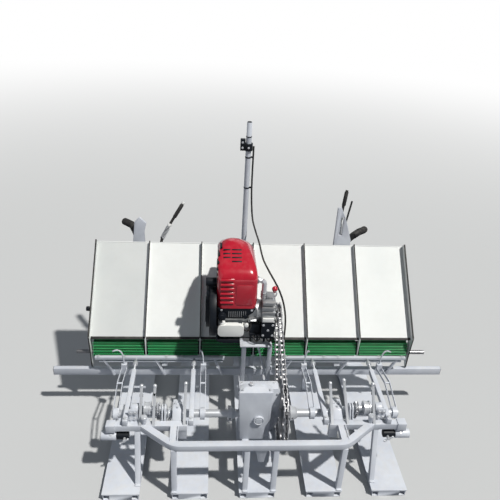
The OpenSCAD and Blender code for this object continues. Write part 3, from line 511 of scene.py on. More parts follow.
class NodeMaker:
    """Geometry node trees for what repeats."""

    @staticmethod
    def _start(name: str, sizes: dict[str, tuple[str, object]]) -> bpy.types.NodeTree:
        """Empty tree with a mesh in, a mesh out, named sizes and a material.

        Args:
            name: the tree's name.
            sizes: socket name to its kind and default value.

        Returns:
            The new tree.
        """
        return new_tree(name, "GeometryNodeTree", {"Geometry": (GEOMETRY, None), **sizes,
                                                   "Material": (MATERIAL, None)}, {"Geometry": GEOMETRY})

    @staticmethod
    def _end(tree: bpy.types.NodeTree, made: bpy.types.NodeSocket) -> bpy.types.NodeTree:
        """Makes the instances real, sets the material and puts the mesh out.

        Args:
            tree: the tree to end.
            made: socket of what it has made.

        Returns:
            The same tree.
        """
        real = add(tree, "GeometryNodeRealizeInstances", {0: made})
        paint = add(tree, "GeometryNodeSetMaterial",
                    {0: real.outputs[0], "Material": tree.nodes["in"].outputs["Material"]})
        feed(tree, tree.nodes["out"], {0: paint.outputs[0]})
        return tree

    @staticmethod
    def studs() -> bpy.types.NodeTree:
        """Tree that sets a flanged head at each point, along the point's axis.

        Returns:
            The tree, with inputs Radius, Height, Sides, Flange and Material.
        """
        tree = NodeMaker._start("studs", {"Radius": (FLOAT, 0.005), "Height": (FLOAT, 0.004),
                                          "Sides": (INT, 6), "Flange": (FLOAT, 0.008)})
        size = tree.nodes["in"].outputs
        head = add(tree, "GeometryNodeMeshCylinder",
                   {"Vertices": size["Sides"], "Radius": size["Radius"], "Depth": size["Height"]})
        flange = add(tree, "GeometryNodeMeshCylinder",
                     {"Vertices": 20, "Radius": size["Flange"], "Depth": 0.0012})
        lift = add(tree, "ShaderNodeCombineXYZ", {"Z": reckon(tree, "MULTIPLY", size["Height"], 0.5)})
        raised = add(tree, "GeometryNodeTransform",
                     {"Geometry": head.outputs["Mesh"], "Translation": lift.outputs[0]})
        joined = add(tree, "GeometryNodeJoinGeometry", {0: raised.outputs[0]})
        feed(tree, joined, {0: flange.outputs["Mesh"]})
        axis = add(tree, "GeometryNodeInputNamedAttribute", {"Name": "axis"}, data_type="FLOAT_VECTOR")
        turn = add(tree, "FunctionNodeAlignRotationToVector", {"Vector": axis.outputs[0]})
        heads = add(tree, "GeometryNodeInstanceOnPoints", {
            "Points": size["Geometry"], "Instance": joined.outputs[0], "Rotation": turn.outputs[0]})
        return NodeMaker._end(tree, heads.outputs[0])

    @staticmethod
    def wires() -> bpy.types.NodeTree:
        """Tree that turns every edge into a round wire.

        Returns:
            The tree, with inputs Radius, Sides and Material.
        """
        tree = NodeMaker._start("wires", {"Radius": (FLOAT, 0.001), "Sides": (INT, 5)})
        size = tree.nodes["in"].outputs
        lines = add(tree, "GeometryNodeMeshToCurve", {"Mesh": size["Geometry"]})
        section = add(tree, "GeometryNodeCurvePrimitiveCircle",
                      {"Resolution": size["Sides"], "Radius": size["Radius"]})
        solid = add(tree, "GeometryNodeCurveToMesh", {
            "Curve": lines.outputs["Curve"], "Profile Curve": section.outputs["Curve"], "Fill Caps": True})
        return NodeMaker._end(tree, solid.outputs["Mesh"])

    @staticmethod
    def beads() -> bpy.types.NodeTree:
        """Tree that lays overlapping drops along every edge, as a weld does.

        Returns:
            The tree, with inputs Spacing, Radius, Seed and Material.
        """
        tree = NodeMaker._start("weld_beads", {"Spacing": (FLOAT, 0.0018), "Radius": (FLOAT, 0.0021),
                                               "Seed": (INT, 3)})
        size = tree.nodes["in"].outputs
        lines = add(tree, "GeometryNodeMeshToCurve", {"Mesh": size["Geometry"]})
        even = add(tree, "GeometryNodeCurveToPoints",
                   {"Curve": lines.outputs["Curve"], "Length": size["Spacing"]}, mode="LENGTH")
        drop = add(tree, "GeometryNodeMeshIcoSphere", {"Subdivisions": 2, "Radius": size["Radius"]})
        scale = add(tree, "FunctionNodeRandomValue", {2: 0.8, 3: 1.15, "Seed": size["Seed"]},
                    data_type="FLOAT")
        drops = add(tree, "GeometryNodeInstanceOnPoints", {
            "Points": even.outputs["Points"], "Instance": drop.outputs["Mesh"], "Scale": scale.outputs[1]})
        return NodeMaker._end(tree, drops.outputs[0])

    @staticmethod
    def run(obj: bpy.types.Object, tree: bpy.types.NodeTree, sizes: dict[str, object]) -> bpy.types.Object:
        """Runs tree on obj with the given sizes and keeps the plain result.

        Args:
            obj: object whose mesh is the input.
            tree: the geometry tree.
            sizes: input name to its value.

        Returns:
            The same object with the finished mesh.
        """
        mod = obj.modifiers.new("maker", "NODES")
        mod.node_group = tree
        sockets = {s.name: s.identifier for s in tree.interface.items_tree if s.in_out == "INPUT"}
        for label, value in sizes.items():
            mod[sockets[label]] = value
        return freeze(obj)


@dataclass
class Studs:
    """A set of like heads: bolts, nuts or rivets on one body."""

    name: str
    body: Body
    finish: str
    radius: float
    height: float
    flange: float
    sides: int = 6

    def build(self, points: Sequence[Stud], shop: "Workshop") -> bpy.types.Object:
        """Makes the heads at points.

        Args:
            points: place and outward direction of each head.
            shop: finishes, seats and trees.

        Returns:
            The finished piece.
        """
        obj = wire_object(self.name, [p for p, _ in points], [])
        axis = obj.data.attributes.new("axis", "FLOAT_VECTOR", "POINT")
        for i, (_, way) in enumerate(points):
            axis.data[i].vector = way
        NodeMaker.run(obj, shop.studs, {
            "Radius": self.radius * MM, "Height": self.height * MM, "Sides": self.sides,
            "Flange": self.flange * MM, "Material": shop.palette.materials[self.finish]})
        obj.data.shade_flat()
        return shop.palette.hand_over(obj, self.finish, self.body)


@dataclass(frozen=True)
class Loop:
    """Closed line round two like wheels, as a belt or a chain runs."""

    low: Flat
    high: Flat
    core: float
    reach: float

    @property
    def length(self) -> float:
        """Length of the loop, measured at the radius core."""
        return 2 * (Vector(self.high) - Vector(self.low)).length + 2 * math.pi * self.core

    def point(self, s: float) -> Flat:
        """Point of the loop, at the radius reach.

        Args:
            s: distance along the loop from the lower wheel.

        Returns:
            The point's places from front to back and in height.
        """
        low, high = Vector(self.low), Vector(self.high)
        run = (high - low).length
        along = (high - low) / run
        out = Vector((along.y, -along.x))
        half = math.pi * self.core
        if s < run:
            return tuple(low + along * s + out * self.reach)
        if s < run + half:
            a = (s - run) / self.core
            return tuple(high + self.reach * (math.cos(a) * out + math.sin(a) * along))
        if s < 2 * run + half:
            return tuple(high - along * (s - run - half) - out * self.reach)
        a = (s - 2 * run - half) / self.core
        return tuple(low - self.reach * (math.cos(a) * out + math.sin(a) * along))


def rounded(x0: float, x1: float, y0: float, y1: float, r: float, steps: int = 6) -> list[Flat]:
    """Outline of a rectangle with round corners, anticlockwise.

    Args:
        x0: low limit across.
        x1: high limit across.
        y0: low limit of the other direction.
        y1: high limit of the other direction.
        r: radius of the corners, cut down where the rectangle is too small.
        steps: facets of a corner.

    Returns:
        The points.
    """
    r = min(r, (x1 - x0) / 2 - 0.1, (y1 - y0) / 2 - 0.1)
    corners = ((x1 - r, y1 - r), (x0 + r, y1 - r), (x0 + r, y0 + r), (x1 - r, y0 + r))
    turns = [[math.radians(90 * k + 90 * t / steps) for t in range(steps + 1)] for k in range(len(corners))]
    return [(x + r * math.cos(a), y + r * math.sin(a)) for (x, y), turn in zip(corners, turns) for a in turn]


class Piece:
    """A rigid piece under construction, in the machine's own millimetres."""

    def __init__(self, name: str, body: Body, finish: str) -> None:
        """Starts an empty piece.

        Args:
            name: name of the finished object.
            body: moving body that carries it.
            finish: name of its finish.
        """
        self.name = name
        self.body = body
        self.finish = finish
        self.work = bmesh.new()

    def box(self, low: Point, high: Point, turn: Matrix | None = None) -> "Piece":
        """Adds a box between two corners.

        Args:
            low: corner with the lowest coordinates.
            high: corner with the highest.
            turn: turn about the box's own middle.

        Returns:
            The piece itself.
        """
        size = [max(b - a, 0.01) * MM for a, b in zip(low, high)]
        middle = at(*((a + b) / 2 for a, b in zip(low, high)))
        place = Matrix.Translation(middle) @ (turn or Matrix.Identity(4)) @ Matrix.Diagonal((*size, 1))
        bmesh.ops.create_cube(self.work, size=1, matrix=place)
        return self

    def rod(self, start: Point, end: Point, r: float, tip: float | None = None, sides: int = 20) -> "Piece":
        """Adds a round bar or, with tip, a cone.

        Args:
            start: middle of its first end.
            end: middle of its last end.
            r: radius at the start.
            tip: radius at the end, where it differs.
            sides: facets round it.

        Returns:
            The piece itself.
        """
        a, b = at(*start), at(*end)
        turn = (b - a).to_track_quat("Z", "Y").to_matrix().to_4x4()
        bmesh.ops.create_cone(self.work, cap_ends=True, segments=sides, radius1=r * MM,
                              radius2=(r if tip is None else tip) * MM, depth=(b - a).length,
                              matrix=Matrix.Translation((a + b) / 2) @ turn)
        return self

    def ball(self, middle: Point, r: float) -> "Piece":
        """Adds a ball.

        Args:
            middle: its middle.
            r: its radius.

        Returns:
            The piece itself.
        """
        bmesh.ops.create_uvsphere(self.work, u_segments=20, v_segments=12, radius=r * MM,
                                  matrix=Matrix.Translation(at(*middle)))
        return self

    def tube(self, path: Sequence[Point], r: float, sides: int = 10, closed: bool = False) -> "Piece":
        """Adds a round tube along a path of points.

        Args:
            path: points of its middle line.
            r: its radius.
            sides: corners of its section.
            closed: whether the last point joins the first.

        Returns:
            The piece itself.
        """
        points = [at(*q) for q in path]
        count = len(points)
        rings = []
        side = None
        for i, q in enumerate(points):
            before = points[(i - 1) % count] if closed or i else q
            after = points[(i + 1) % count] if closed or i < count - 1 else q
            ahead = (after - before).normalized()
            if side is None:
                side = ahead.orthogonal().normalized()
            side = (side - side.dot(ahead) * ahead).normalized()
            other = ahead.cross(side)
            rings.append([self.work.verts.new(q + r * MM * (math.cos(t) * side + math.sin(t) * other))
                          for t in (2 * math.pi * k / sides for k in range(sides))])
        for i in range(count if closed else count - 1):
            self._band(rings[i], rings[(i + 1) % count])
        if not closed:
            self._ends(rings)
        return self

    def coil(self, start: Point, end: Point, r: float, wire: float, turns: int) -> "Piece":
        """Adds a coil spring.

        Args:
            start: middle of its first end.
            end: middle of its last end.
            r: radius of the coil.
            wire: radius of the wire.
            turns: how many turns it has.

        Returns:
            The piece itself.
        """
        a, b = Vector(start), Vector(end)
        ahead = (b - a).normalized()
        side = ahead.orthogonal().normalized()
        other = ahead.cross(side)
        steps = turns * 10
        path = [tuple(a.lerp(b, i / steps) + r * (math.cos(0.2 * math.pi * i) * side
                                                  + math.sin(0.2 * math.pi * i) * other))
                for i in range(steps + 1)]
        return self.tube(path, wire, 6)

    def prism(self, outline: Sequence[Flat], low: float, high: float,
              put: Callable[[float, float, float], Vector]) -> "Piece":
        """Adds an outline swept straight.

        Args:
            outline: points (u, v) of the section.
            low: start of the sweep.
            high: end of the sweep.
            put: places (u, v, sweep) in the row frame.

        Returns:
            The piece itself.
        """
        return self.loft([[put(u, v, w) for u, v in outline] for w in (low, high)])

    def loft(self, sections: Sequence[Sequence[Vector]]) -> "Piece":
        """Joins closed sections in a row and closes both ends.

        Args:
            sections: the sections, each with the same number of points.

        Returns:
            The piece itself.
        """
        rings = [[self.work.verts.new(q) for q in section] for section in sections]
        for near, far in zip(rings, rings[1:]):
            self._band(near, far)
        self._ends(rings)
        return self

    def _band(self, near: Sequence[bmesh.types.BMVert], far: Sequence[bmesh.types.BMVert]) -> None:
        """Joins two rings by a band of faces."""
        for k, j in zip(range(len(near)), [*range(1, len(near)), 0]):
            self.work.faces.new((near[k], near[j], far[j], far[k]))

    def _ends(self, rings: Sequence[Sequence[bmesh.types.BMVert]]) -> None:
        """Closes the first and the last ring."""
        self.work.faces.new(list(reversed(rings[0])))
        self.work.faces.new(rings[-1])

    def done(self, palette: Palette, edge: float = 0.0, smooth: float = 40.0) -> bpy.types.Object:
        """Finishes the piece.

        Args:
            palette: the built finishes.
            edge: width of the broken edges.
            smooth: angle under which neighbouring faces shade as one.

        Returns:
            The finished object, riding its body.
        """
        obj = bmesh_object(self.name, self.work)
        soften(obj, edge, 2, smooth)
        return palette.hand_over(obj, self.finish, self.body)


class Faces:
    """Finds where small parts seat on the CAD nodes."""

    def __init__(self) -> None:
        """Starts with no surface read."""
        self.trees: dict[str, BVHTree] = {}

    def _tree(self, node: str) -> BVHTree:
        """Surface of a node, read once.

        Args:
            node: the CAD node.

        Returns:
            Its search tree.
        """
        if node not in self.trees:
            mesh = frame["nodes"][node].data
            self.trees[node] = BVHTree.FromPolygons([v.co for v in mesh.vertices],
                                                    [tuple(p.vertices) for p in mesh.polygons])
        return self.trees[node]

    def seat(self, node: str, start: Point, way: Point) -> Stud | None:
        """Place and outward direction of the face that a line meets first.

        Args:
            node: CAD node to seat on.
            start: a point off the surface, in machine millimetres.
            way: direction of the line.

        Returns:
            The place and the face's normal, or None where the line misses.
        """
        hit, normal, _, _ = self._tree(node).ray_cast(at(*start), Vector(way).normalized())
        if hit is None:
            LOG.warning("no face of %s below %s", node, start)
            return None
        if normal.dot(Vector(way)) > 0:
            normal = -normal
        return hit, tuple(normal)

    def seats(self, node: str, starts: Iterable[Point], way: Point) -> list[Stud]:
        """Seats of many parallel lines, without those that miss."""
        return [s for s in (self.seat(node, q, way) for q in starts) if s]


class Workshop:
    """What every dressing step shares: finishes, seats and the geometry trees."""

    def __init__(self) -> None:
        """Builds the finishes and the trees once."""
        self.palette = Palette()
        self.faces = Faces()
        self.studs = NodeMaker.studs()
        self.wires = NodeMaker.wires()
        self.beads = NodeMaker.beads()

    def lines(self, name: str, body: Body, finish: str, paths: Sequence[Sequence[Vector]],
              tree: bpy.types.NodeTree, sizes: dict[str, object]) -> bpy.types.Object:
        """Makes wires or weld beads along paths, on one body.

        Args:
            name: name of the piece.
            body: moving body that carries it.
            finish: name of its finish.
            paths: points of each line.
            tree: tree that makes the wire or the bead.
            sizes: the tree's input names to their values.

        Returns:
            The finished piece.
        """
        verts: list[Vector] = []
        edges: list[tuple[int, int]] = []
        for path in paths:
            first = len(verts)
            verts.extend(path)
            edges.extend((first + i, first + i + 1) for i in range(len(path) - 1))
        obj = wire_object(name, verts, edges)
        NodeMaker.run(obj, tree, {**sizes, "Material": self.palette.materials[finish]})
        obj.data.shade_smooth()
        return self.palette.hand_over(obj, finish, body)


@dataclass
class Hardware:
    """Bolts, nuts and welds of the standing frame."""

    bolt: tuple[float, float, float] = (4.6, 3.6, 6.4)
    small_bolt: tuple[float, float, float] = (2.9, 2.4, 3.9)
    support_x: tuple[float, ...] = (-389, -199, 199, 389)
    leg_feet: tuple[Flat, ...] = (
        (-355, -100), (-246, -126), (-37, -126), (47, -126), (246, -126), (355, -100))
    gate_x: tuple[float, ...] = (512, 430, 290, 240, 110)
    above: float = 400.0
    pad_top: float = 216.2

    def build(self, shop: Workshop) -> None:
        """Sets the bolts and lays the welds.

        Args:
            shop: finishes, seats and trees.
        """
        self._large(shop)
        self._small(shop)
        self._welds(shop)

    def _large(self, shop: Workshop) -> None:
        """Bolts of the supports, boxes, plates, gates and brackets.

        Args:
            shop: finishes, seats and trees.
        """
        seats, top, down = shop.faces.seats, self.above, (0, 0, -1)
        bolts = seats("support_arms", [(x, -50, top) for x in self.support_x], down)
        bolts += seats("bearing_boxes", [(s * x, 8, top) for s in (-1, 1) for x in (232, 247)], down)
        bolts += seats("unit_plates", [(s * x, -80, z) for s in (-1, 1) for x in (361, 374)
                                       for z in (226, 248)], (0, 1, 0))
        bolts += seats("unit_plates", [(s * 500, y, 194) for s in (-1, 1) for y in (-30, 12)], (1, 0, 0))
        for gate, s in (("gate_left", -1), ("gate_right", 1)):
            bolts += seats(gate, [(s * x, 224, top) for x in self.gate_x], down)
        bolts += seats("handle_brackets", [(x, 700, 478) for x in (-408, -386, 300, 338)], (0, -1, 0))
        bolts += seats("rear_frame", [(-31, 525, top)], down)
        Studs("frame_bolts", Body.FRAME, "zinc_plate", *self.bolt).build(bolts, shop)

    def _small(self, shop: Workshop) -> None:
        """Bolts of the legs, the gearbox, the engine stand and the outer tubes.

        Args:
            shop: finishes, seats and trees.
        """
        seats, top, down = shop.faces.seats, self.above, (0, 0, -1)
        small = seats("front_legs", [(x + d, y + 14, 60) for x, y in self.leg_feet for d in (-4.5, 4.5)],
                      down)
        small += seats("gearbox_case", [(54, -100, 200), (55, -100, 250), (54, -100, 296)], (0, 1, 0))
        for node, y, pair in (("gearbox_case", -38, (-52, 26)), ("gearbox_case", 12, (-52, 44)),
                              ("engine_stand", 182, (-44, 46)), ("engine_stand", 212, (-44, 46))):
            small += seats(node, [(x, y, top) for x in pair], down)
        small += seats("main_frame", [(s * 431, -90, 183) for s in (-1, 1)], (0, 1, 0))
        Studs("small_bolts", Body.FRAME, "zinc_plate", *self.small_bolt).build(small, shop)

    def _welds(self, shop: Workshop) -> None:
        """Welds round the pads, the leg tops and the ties.

        Args:
            shop: finishes, seats and trees.
        """
        paths: list[list[Vector]] = []
        for x in self.support_x:
            paths += [[at(x + side, y, self.pad_top + 0.2) for y in (-58, -42)] for side in (-7.6, 7.6)]
        for x, y in self.leg_feet:
            paths.append([at(x + dx, y - 9, 25.6) for dx in (-9, 9)])
            paths.append([at(x + dx, y + 9, 29.5) for dx in (-8, 8)])
        for s in (-1, 1):
            paths += [[at(s * x, y, self.pad_top) for y in (-114, -62)] for x in (236, 257)]
            paths.append([at(s * x, -40.2, 190) for x in (226, 254)])
            paths.append([at(s * x, -40.4, 215.8) for x in (354, 381)])
        paths += [[at(x + dx, 239, 173.4) for dx in (-9, 9)] for x in (-37, 47)]
        shop.lines("weld_beads", Body.FRAME, "grey_paint", paths, shop.beads,
                   {"Spacing": 0.0019, "Radius": 0.0017, "Seed": 5})


@dataclass
class TubeEnds:
    """Caps of the beam, the tray's rail and the pole."""

    beam_half: float = 670.0
    beam: tuple[float, float, float, float] = (239, 254, 146, 173)
    beam_cap: Flat = (1.2, 1.0)
    rail_cap: Flat = (2.0, 0.6)
    pole_top: Point = (-31, 525, 951)
    pole_cap: Flat = (7.4, 2.5)

    def build(self, shop: Workshop) -> None:
        """Makes the caps.

        Args:
            shop: finishes, seats and trees.
        """
        caps = Piece("tube_caps", Body.FRAME, "black_moulding")
        low, high = (corner / MM + Vector((0, Y_MID, 0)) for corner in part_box("tray_rail"))
        ends = [(s * self.beam_half, s, self.beam, self.beam_cap) for s in (-1, 1)]
        ends += [(x, s, (low.y, high.y, low.z, high.z), self.rail_cap) for s, x in ((-1, low.x), (1, high.x))]
        for x, s, (y0, y1, z0, z1), (thick, inset) in ends:
            far = x + s * thick
            caps.box((min(x, far), y0 + inset, z0 + inset), (max(x, far), y1 - inset, z1 - inset))
        x, y, z = self.pole_top
        radius, height = self.pole_cap
        caps.rod(self.pole_top, (x, y, z + height), radius)
        caps.done(shop.palette, edge=0.4)


@dataclass
class Net:
    """Net of each feed belt, all round its two rollers, and the plates between the belts: black plates that
    paint the shade in the gaps, and light divider tails.
    """

    low: Flat = (258, 232)
    high: Flat = (264, 262)
    core: float = 13.0
    radius: float = 15.2
    width: float = 168.0
    pitch: float = 180.0
    belts: int = 6
    columns: int = 20
    rows: int = 14
    strand: float = 1.05
    first_row: float = 0.2
    loop: float = 0.23
    gap_shade_half: float = 7.6
    gap_shade_share: float = 0.86
    gap_shade_points: int = 36
    tail_half: float = 1.5
    tail: tuple[Flat, ...] = (
        (237.5, 303), (240.5, 262), (241.5, 224), (250, 217), (258, 232), (262, 250), (252, 289))

    def _edge(self, share: float) -> Flat:
        """Point of the belt's outer line at a share of its whole length."""
        line = Loop(self.low, self.high, self.core, self.radius)
        return line.point(share * line.length)

    def build(self, shop: Workshop) -> None:
        """Makes the net of every belt, and what stands between the belts: black plates of painted shade in
        the gaps, and the divider tails.

        Args:
            shop: finishes, seats and trees.
        """
        self._strands(shop)
        # black plates in the gaps between the belts are painted shade: they stand in for the dark space
        # behind the belts
        middle = [(a + b) / 2 for a, b in zip(self.low, self.high)]
        edge = [self._edge(k / self.gap_shade_points) for k in range(self.gap_shade_points)]
        outline = [tuple(m + self.gap_shade_share * (v - m) for v, m in zip(q, middle)) for q in edge]
        self._between("belt_gap_shade", "black_moulding", outline, self.gap_shade_half, shop)
        self._between("divider_tails", "tray_paint", self.tail, self.tail_half, shop, edge=0.4)

    def _strands(self, shop: Workshop) -> None:
        """Makes the strands of every belt.

        Args:
            shop: finishes, seats and trees.
        """
        paths = []
        step = self.width / self.columns
        for belt in range(self.belts):
            x0 = (belt - (self.belts - 1) / 2) * self.pitch - self.width / 2
            for r in range(self.rows):
                path = []
                for c in range(2 * self.columns + 1):
                    share = (r + self.first_row + self.loop * (-1) ** (c + r)) / self.rows
                    path.append(at(x0 + c * step / 2, *self._edge(share % 1.0)))
                paths.append(path)
        shop.lines("belt_net", Body.TRAY, "green_net", paths, shop.wires,
                   {"Radius": self.strand * MM, "Sides": 4})

    def _between(self, name: str, finish: str, outline: Sequence[Flat], half: float, shop: Workshop,
                 edge: float = 0.0) -> None:
        """Stands a like plate in every gap between two belts.

        Args:
            name: name of the piece.
            finish: name of its finish.
            outline: the plate's outline, seen from the side.
            half: half of its thickness.
            shop: finishes, seats and trees.
            edge: width of its broken edges.
        """
        piece = Piece(name, Body.TRAY, finish)
        for i in range(1, self.belts):
            x = (i - self.belts / 2) * self.pitch
            piece.prism(outline, x - half, x + half, lambda v, w, d: at(d, v, w))
        piece.done(shop.palette, edge=edge)


@dataclass
class TrayTrim:
    """Edging, wipers, hem, rivets, side bolts and knob of the seedling tray; the black of the divider trim
    and of the wipers is partly painted shade.
    """

    foot: Flat = (248, 293)
    slope: float = 44.0
    length: float = 337.0
    lane: float = 180.0
    lanes: int = 6
    divider: float = 16.0
    side: float = 22.0
    side_out: float = 1.5
    front_tube: tuple[Flat, ...] = ((232.7, 308.8), (241, 230), (243, 179))
    rivet_rows: tuple[int, int, int] = (24, 330, 58)
    bolt_places: tuple[float, ...] = (20, 110, 200, 300)
    knob: Point = (-543, 314, 366)

    def _on(self, x: float, u: float, w: float) -> Vector:
        """Point of the tray's own plane.

        Args:
            x: place along the beam.
            u: distance up the slope.
            w: distance off the sheet.

        Returns:
            The point in the row frame.
        """
        a = math.radians(self.slope)
        y = self.foot[0] + u * math.cos(a) - w * math.sin(a)
        z = self.foot[1] + u * math.sin(a) + w * math.cos(a)
        return at(x, y, z)

    def build(self, shop: Workshop) -> None:
        """Makes the trim.

        Args:
            shop: finishes, seats and trees.
        """
        self._trim_and_shade_lines(shop)
        self._lips(shop)
        self._hardware(shop)

    def _trim_and_shade_lines(self, shop: Workshop) -> None:
        """Dark trim of the dividers and of both side plates; on the dividers its black is partly painted
        shade, standing in for each divider's shaded wall and its shadow.

        Args:
            shop: finishes, seats and trees.
        """
        trim_and_shade_line = Piece("divider_trim_and_shade_line", Body.TRAY, "black_rubber")
        for i in range(self.lanes + 1):
            outer = i in (0, self.lanes)
            top, half = (self.side, 2.2) if outer else (self.divider, 1.6)
            x = (i - self.lanes / 2) * self.lane + self.side_out * ((i == self.lanes) - (i == 0))
            # black strip along each divider top: partly real trim, partly a painted shade line for the
            # divider's shaded wall and shadow
            outline = [(-half, top - 2.5), (half, top - 2.5), (half, top + 0.9), (half - 0.6, top + 1.5),
                       (0.6 - half, top + 1.5), (-half, top + 0.9)]
            trim_and_shade_line.prism(outline, 1, self.length - 1, lambda v, w, u, x=x: self._on(x + v, u, w))
            if outer:
                trim_and_shade_line.tube([(x, y, z) for y, z in self.front_tube], 1.9)
        trim_and_shade_line.done(shop.palette)

    def _lips(self, shop: Workshop) -> None:
        """Wiper at the foot of each lane, its black partly painted shade of the gap there, and hem at its
        top.

        Args:
            shop: finishes, seats and trees.
        """
        wiper_and_gap_shade = Piece("tray_wiper_and_gap_shade", Body.TRAY, "black_rubber")
        hem = Piece("tray_hem", Body.TRAY, "tray_paint")
        for i in range(self.lanes):
            x = (i - (self.lanes - 1) / 2) * self.lane
            # black strip at each lane's foot: partly a rubber flap, partly painted shadow of the gap at the
            # tray's lower edge
            wiper_and_gap_shade.prism([(x - 88, -3.4), (x + 88, -3.4), (x + 88, 1.8), (x - 88, 1.8)], -1.5, 7,
                        lambda v, w, u: self._on(v, u, w))
            hem.tube([tuple((self._on(v, self.length - 1.5, -0.6) / MM) + Vector((0, Y_MID, 0)))
                      for v in (x - 88.5, x + 88.5)], 2.0)
        wiper_and_gap_shade.done(shop.palette, edge=0.5)
        hem.done(shop.palette)

    def _hardware(self, shop: Workshop) -> None:
        """Rivets of the dividers, bolts of the side plates and the left plate's knob.

        Args:
            shop: finishes, seats and trees.
        """
        off = (0, -math.sin(math.radians(self.slope)), math.cos(math.radians(self.slope)))
        rivets = [(self._on((i - self.lanes / 2) * self.lane + side, u, 0.3), off)
                  for i in range(1, self.lanes) for side in (-7, 7) for u in range(*self.rivet_rows)]
        Studs("tray_rivets", Body.TRAY, "tray_paint", 1.9, 1.1, 2.4, 12).build(rivets, shop)
        y, z = self.foot
        bolts = [b for s in (-1, 1) for b in shop.faces.seats(
            "tray_sides", [(s * 700, y + u * 0.719 - 5, z + u * 0.695 + 6) for u in self.bolt_places],
            (-s, 0, 0))]
        x, y, z = self.knob
        knob = Piece("tray_knob", Body.TRAY, "black_moulding")
        knob.rod(self.knob, (x - 6, y, z), 4)
        knob.rod((x - 5, y, z), (x - 15, y, z), 8.5, 7.5, 12)
        knob.done(shop.palette, edge=0.6)
        Studs("side_bolts", Body.TRAY, "zinc_plate", 3.4, 2.6, 4.8).build(bolts, shop)


@dataclass
class ChainPins:
    """Pin heads of the drive chain."""

    pitch: float = 15.875
    big: int = 42
    small: int = 13
    links: int = 68
    lean: float = 38.0
    plane_x: float = 74.0
    shaft: Flat = (2, 203)
    sprocket: Flat = (248.5, 395.6)
    outer: float = 7.5

    def _joint(self, k: int, big_r: float, small_r: float, centre: float) -> Flat:
        """Place of one joint of the chain.

        Args:
            k: the joint, counted from the middle of the large sprocket's wrap.
            big_r: radius of the large sprocket.
            small_r: radius of the small sprocket.
            centre: distance between their shafts.

        Returns:
            The place along the line between the shafts and across it.
        """
        wrap = math.asin((big_r - small_r) / centre)
        half = self.big * (math.pi + 2 * wrap) / (4 * math.pi)
        run = centre * math.cos(wrap) / self.pitch
        if k <= half:
            a = 2 * math.pi * k / self.big
            return -big_r * math.cos(a), big_r * math.sin(a)
        if k <= half + run:
            d = (k - half) * self.pitch
            return (big_r * math.sin(wrap) + d * math.cos(wrap), big_r * math.cos(wrap) - d * math.sin(wrap))
        a = 2 * math.pi * (self.links / 2 - k) / self.small
        return centre + small_r * math.cos(a), small_r * math.sin(a)

    def build(self, shop: Workshop) -> None:
        """Makes the pin heads.

        Args:
            shop: finishes, seats and trees.
        """
        big_r, small_r = (self.pitch / 2 / math.sin(math.pi / n) for n in (self.big, self.small))
        centre = (Vector(self.sprocket) - Vector(self.shaft)).length
        turn = Matrix.Rotation(math.radians(self.lean), 2)
        heads = []
        for k in range(-self.links // 2, self.links // 2):
            u, v = self._joint(abs(k), big_r, small_r, centre)
            y, z = Vector(self.shaft) + turn @ Vector((u, -v if k < 0 else v))
            heads += [(at(self.plane_x + s * self.outer, y, z), (s, 0, 0)) for s in (-1, 1)]
        Studs("chain_pins", Body.FRAME, "zinc_plate", 2.5, 1.3, 2.9, 12).build(heads, shop)


@dataclass
class CoverShell:
    """Moulded engine cover: rounded level sections from its foot to its ridge."""

    left: float = -129.0
    right: float = -5.0
    foot: float = 469.7
    ridge: float = 641.6
    left_r: float = 44.0
    right_r: float = 78.0
    corner: float = 17.0
    corner_growth: float = 14.0
    back_y: Flat = (310.0, 346.0)
    levels: tuple[float, ...] = (
        469.7, 472, 476, 490, 520, 545, 554, 558, 562, 568, 576, 584, 590, 596, 603, 610, 617, 624, 630, 635,
        638.5, 640.6, 641.4)

    def front(self, z: float) -> float:
        """Front of the cover: upright, then over a soft crease, then up the slanted top.

        Args:
            z: height.

        Returns:
            The place from front to back.
        """
        if z <= 558:
            return 172 + 4 * (z - 469) / 89
        if z <= 595.3:
            return 220 - math.sqrt(44 ** 2 - (z - 558) ** 2)
        return 196.7 + (z - 595.3) * 2.028

    def back(self, z: float) -> float:
        """Back of the cover: out from its foot, nearly upright, then over a round edge.

        Args:
            z: height.

        Returns:
            The place from front to back.
        """
        foot, top = self.back_y
        if z <= 500:
            return foot + (top - foot) * (z - 469) / 31
        if z <= 590:
            return top + 6 * (z - 500) / 90
        return 300 + math.sqrt(max(52 ** 2 - (z - 590) ** 2, 1))

    def sides(self, z: float) -> Flat:
        """Left and right limits of the cover, both drawn in over the shoulders.

        Args:
            z: height.

        Returns:
            The two places along the beam.
        """
        a, b = z - (self.ridge - self.left_r), z - (self.ridge - self.right_r)
        tuck = 2.5 * max(0.0, 1 - (z - self.foot) / 12)
        x0 = self.left + tuck + (self.left_r - math.sqrt(self.left_r ** 2 - a * a) if a > 0 else 0)
        x1 = self.right - tuck - (self.right_r - math.sqrt(self.right_r ** 2 - b * b) if b > 0 else 0)
        return x0, x1

    def build(self, shop: Workshop) -> None:
        """Lofts the shell and lets it stand for the CAD cover.

        Args:
            shop: finishes, seats and trees.
        """
        sections = []
        for z in self.levels:
            corner = self.corner + self.corner_growth * max(0.0, (z - 560) / 80)
            outline = rounded(*self.sides(z), self.front(z), self.back(z), corner)
            sections.append([at(x, y, z) for x, y in outline])
        shell = Piece("engine_cover_shell", Body.FRAME, "red_lacquer").loft(sections)
        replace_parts(shell.done(shop.palette, smooth=48), "engine_cover")


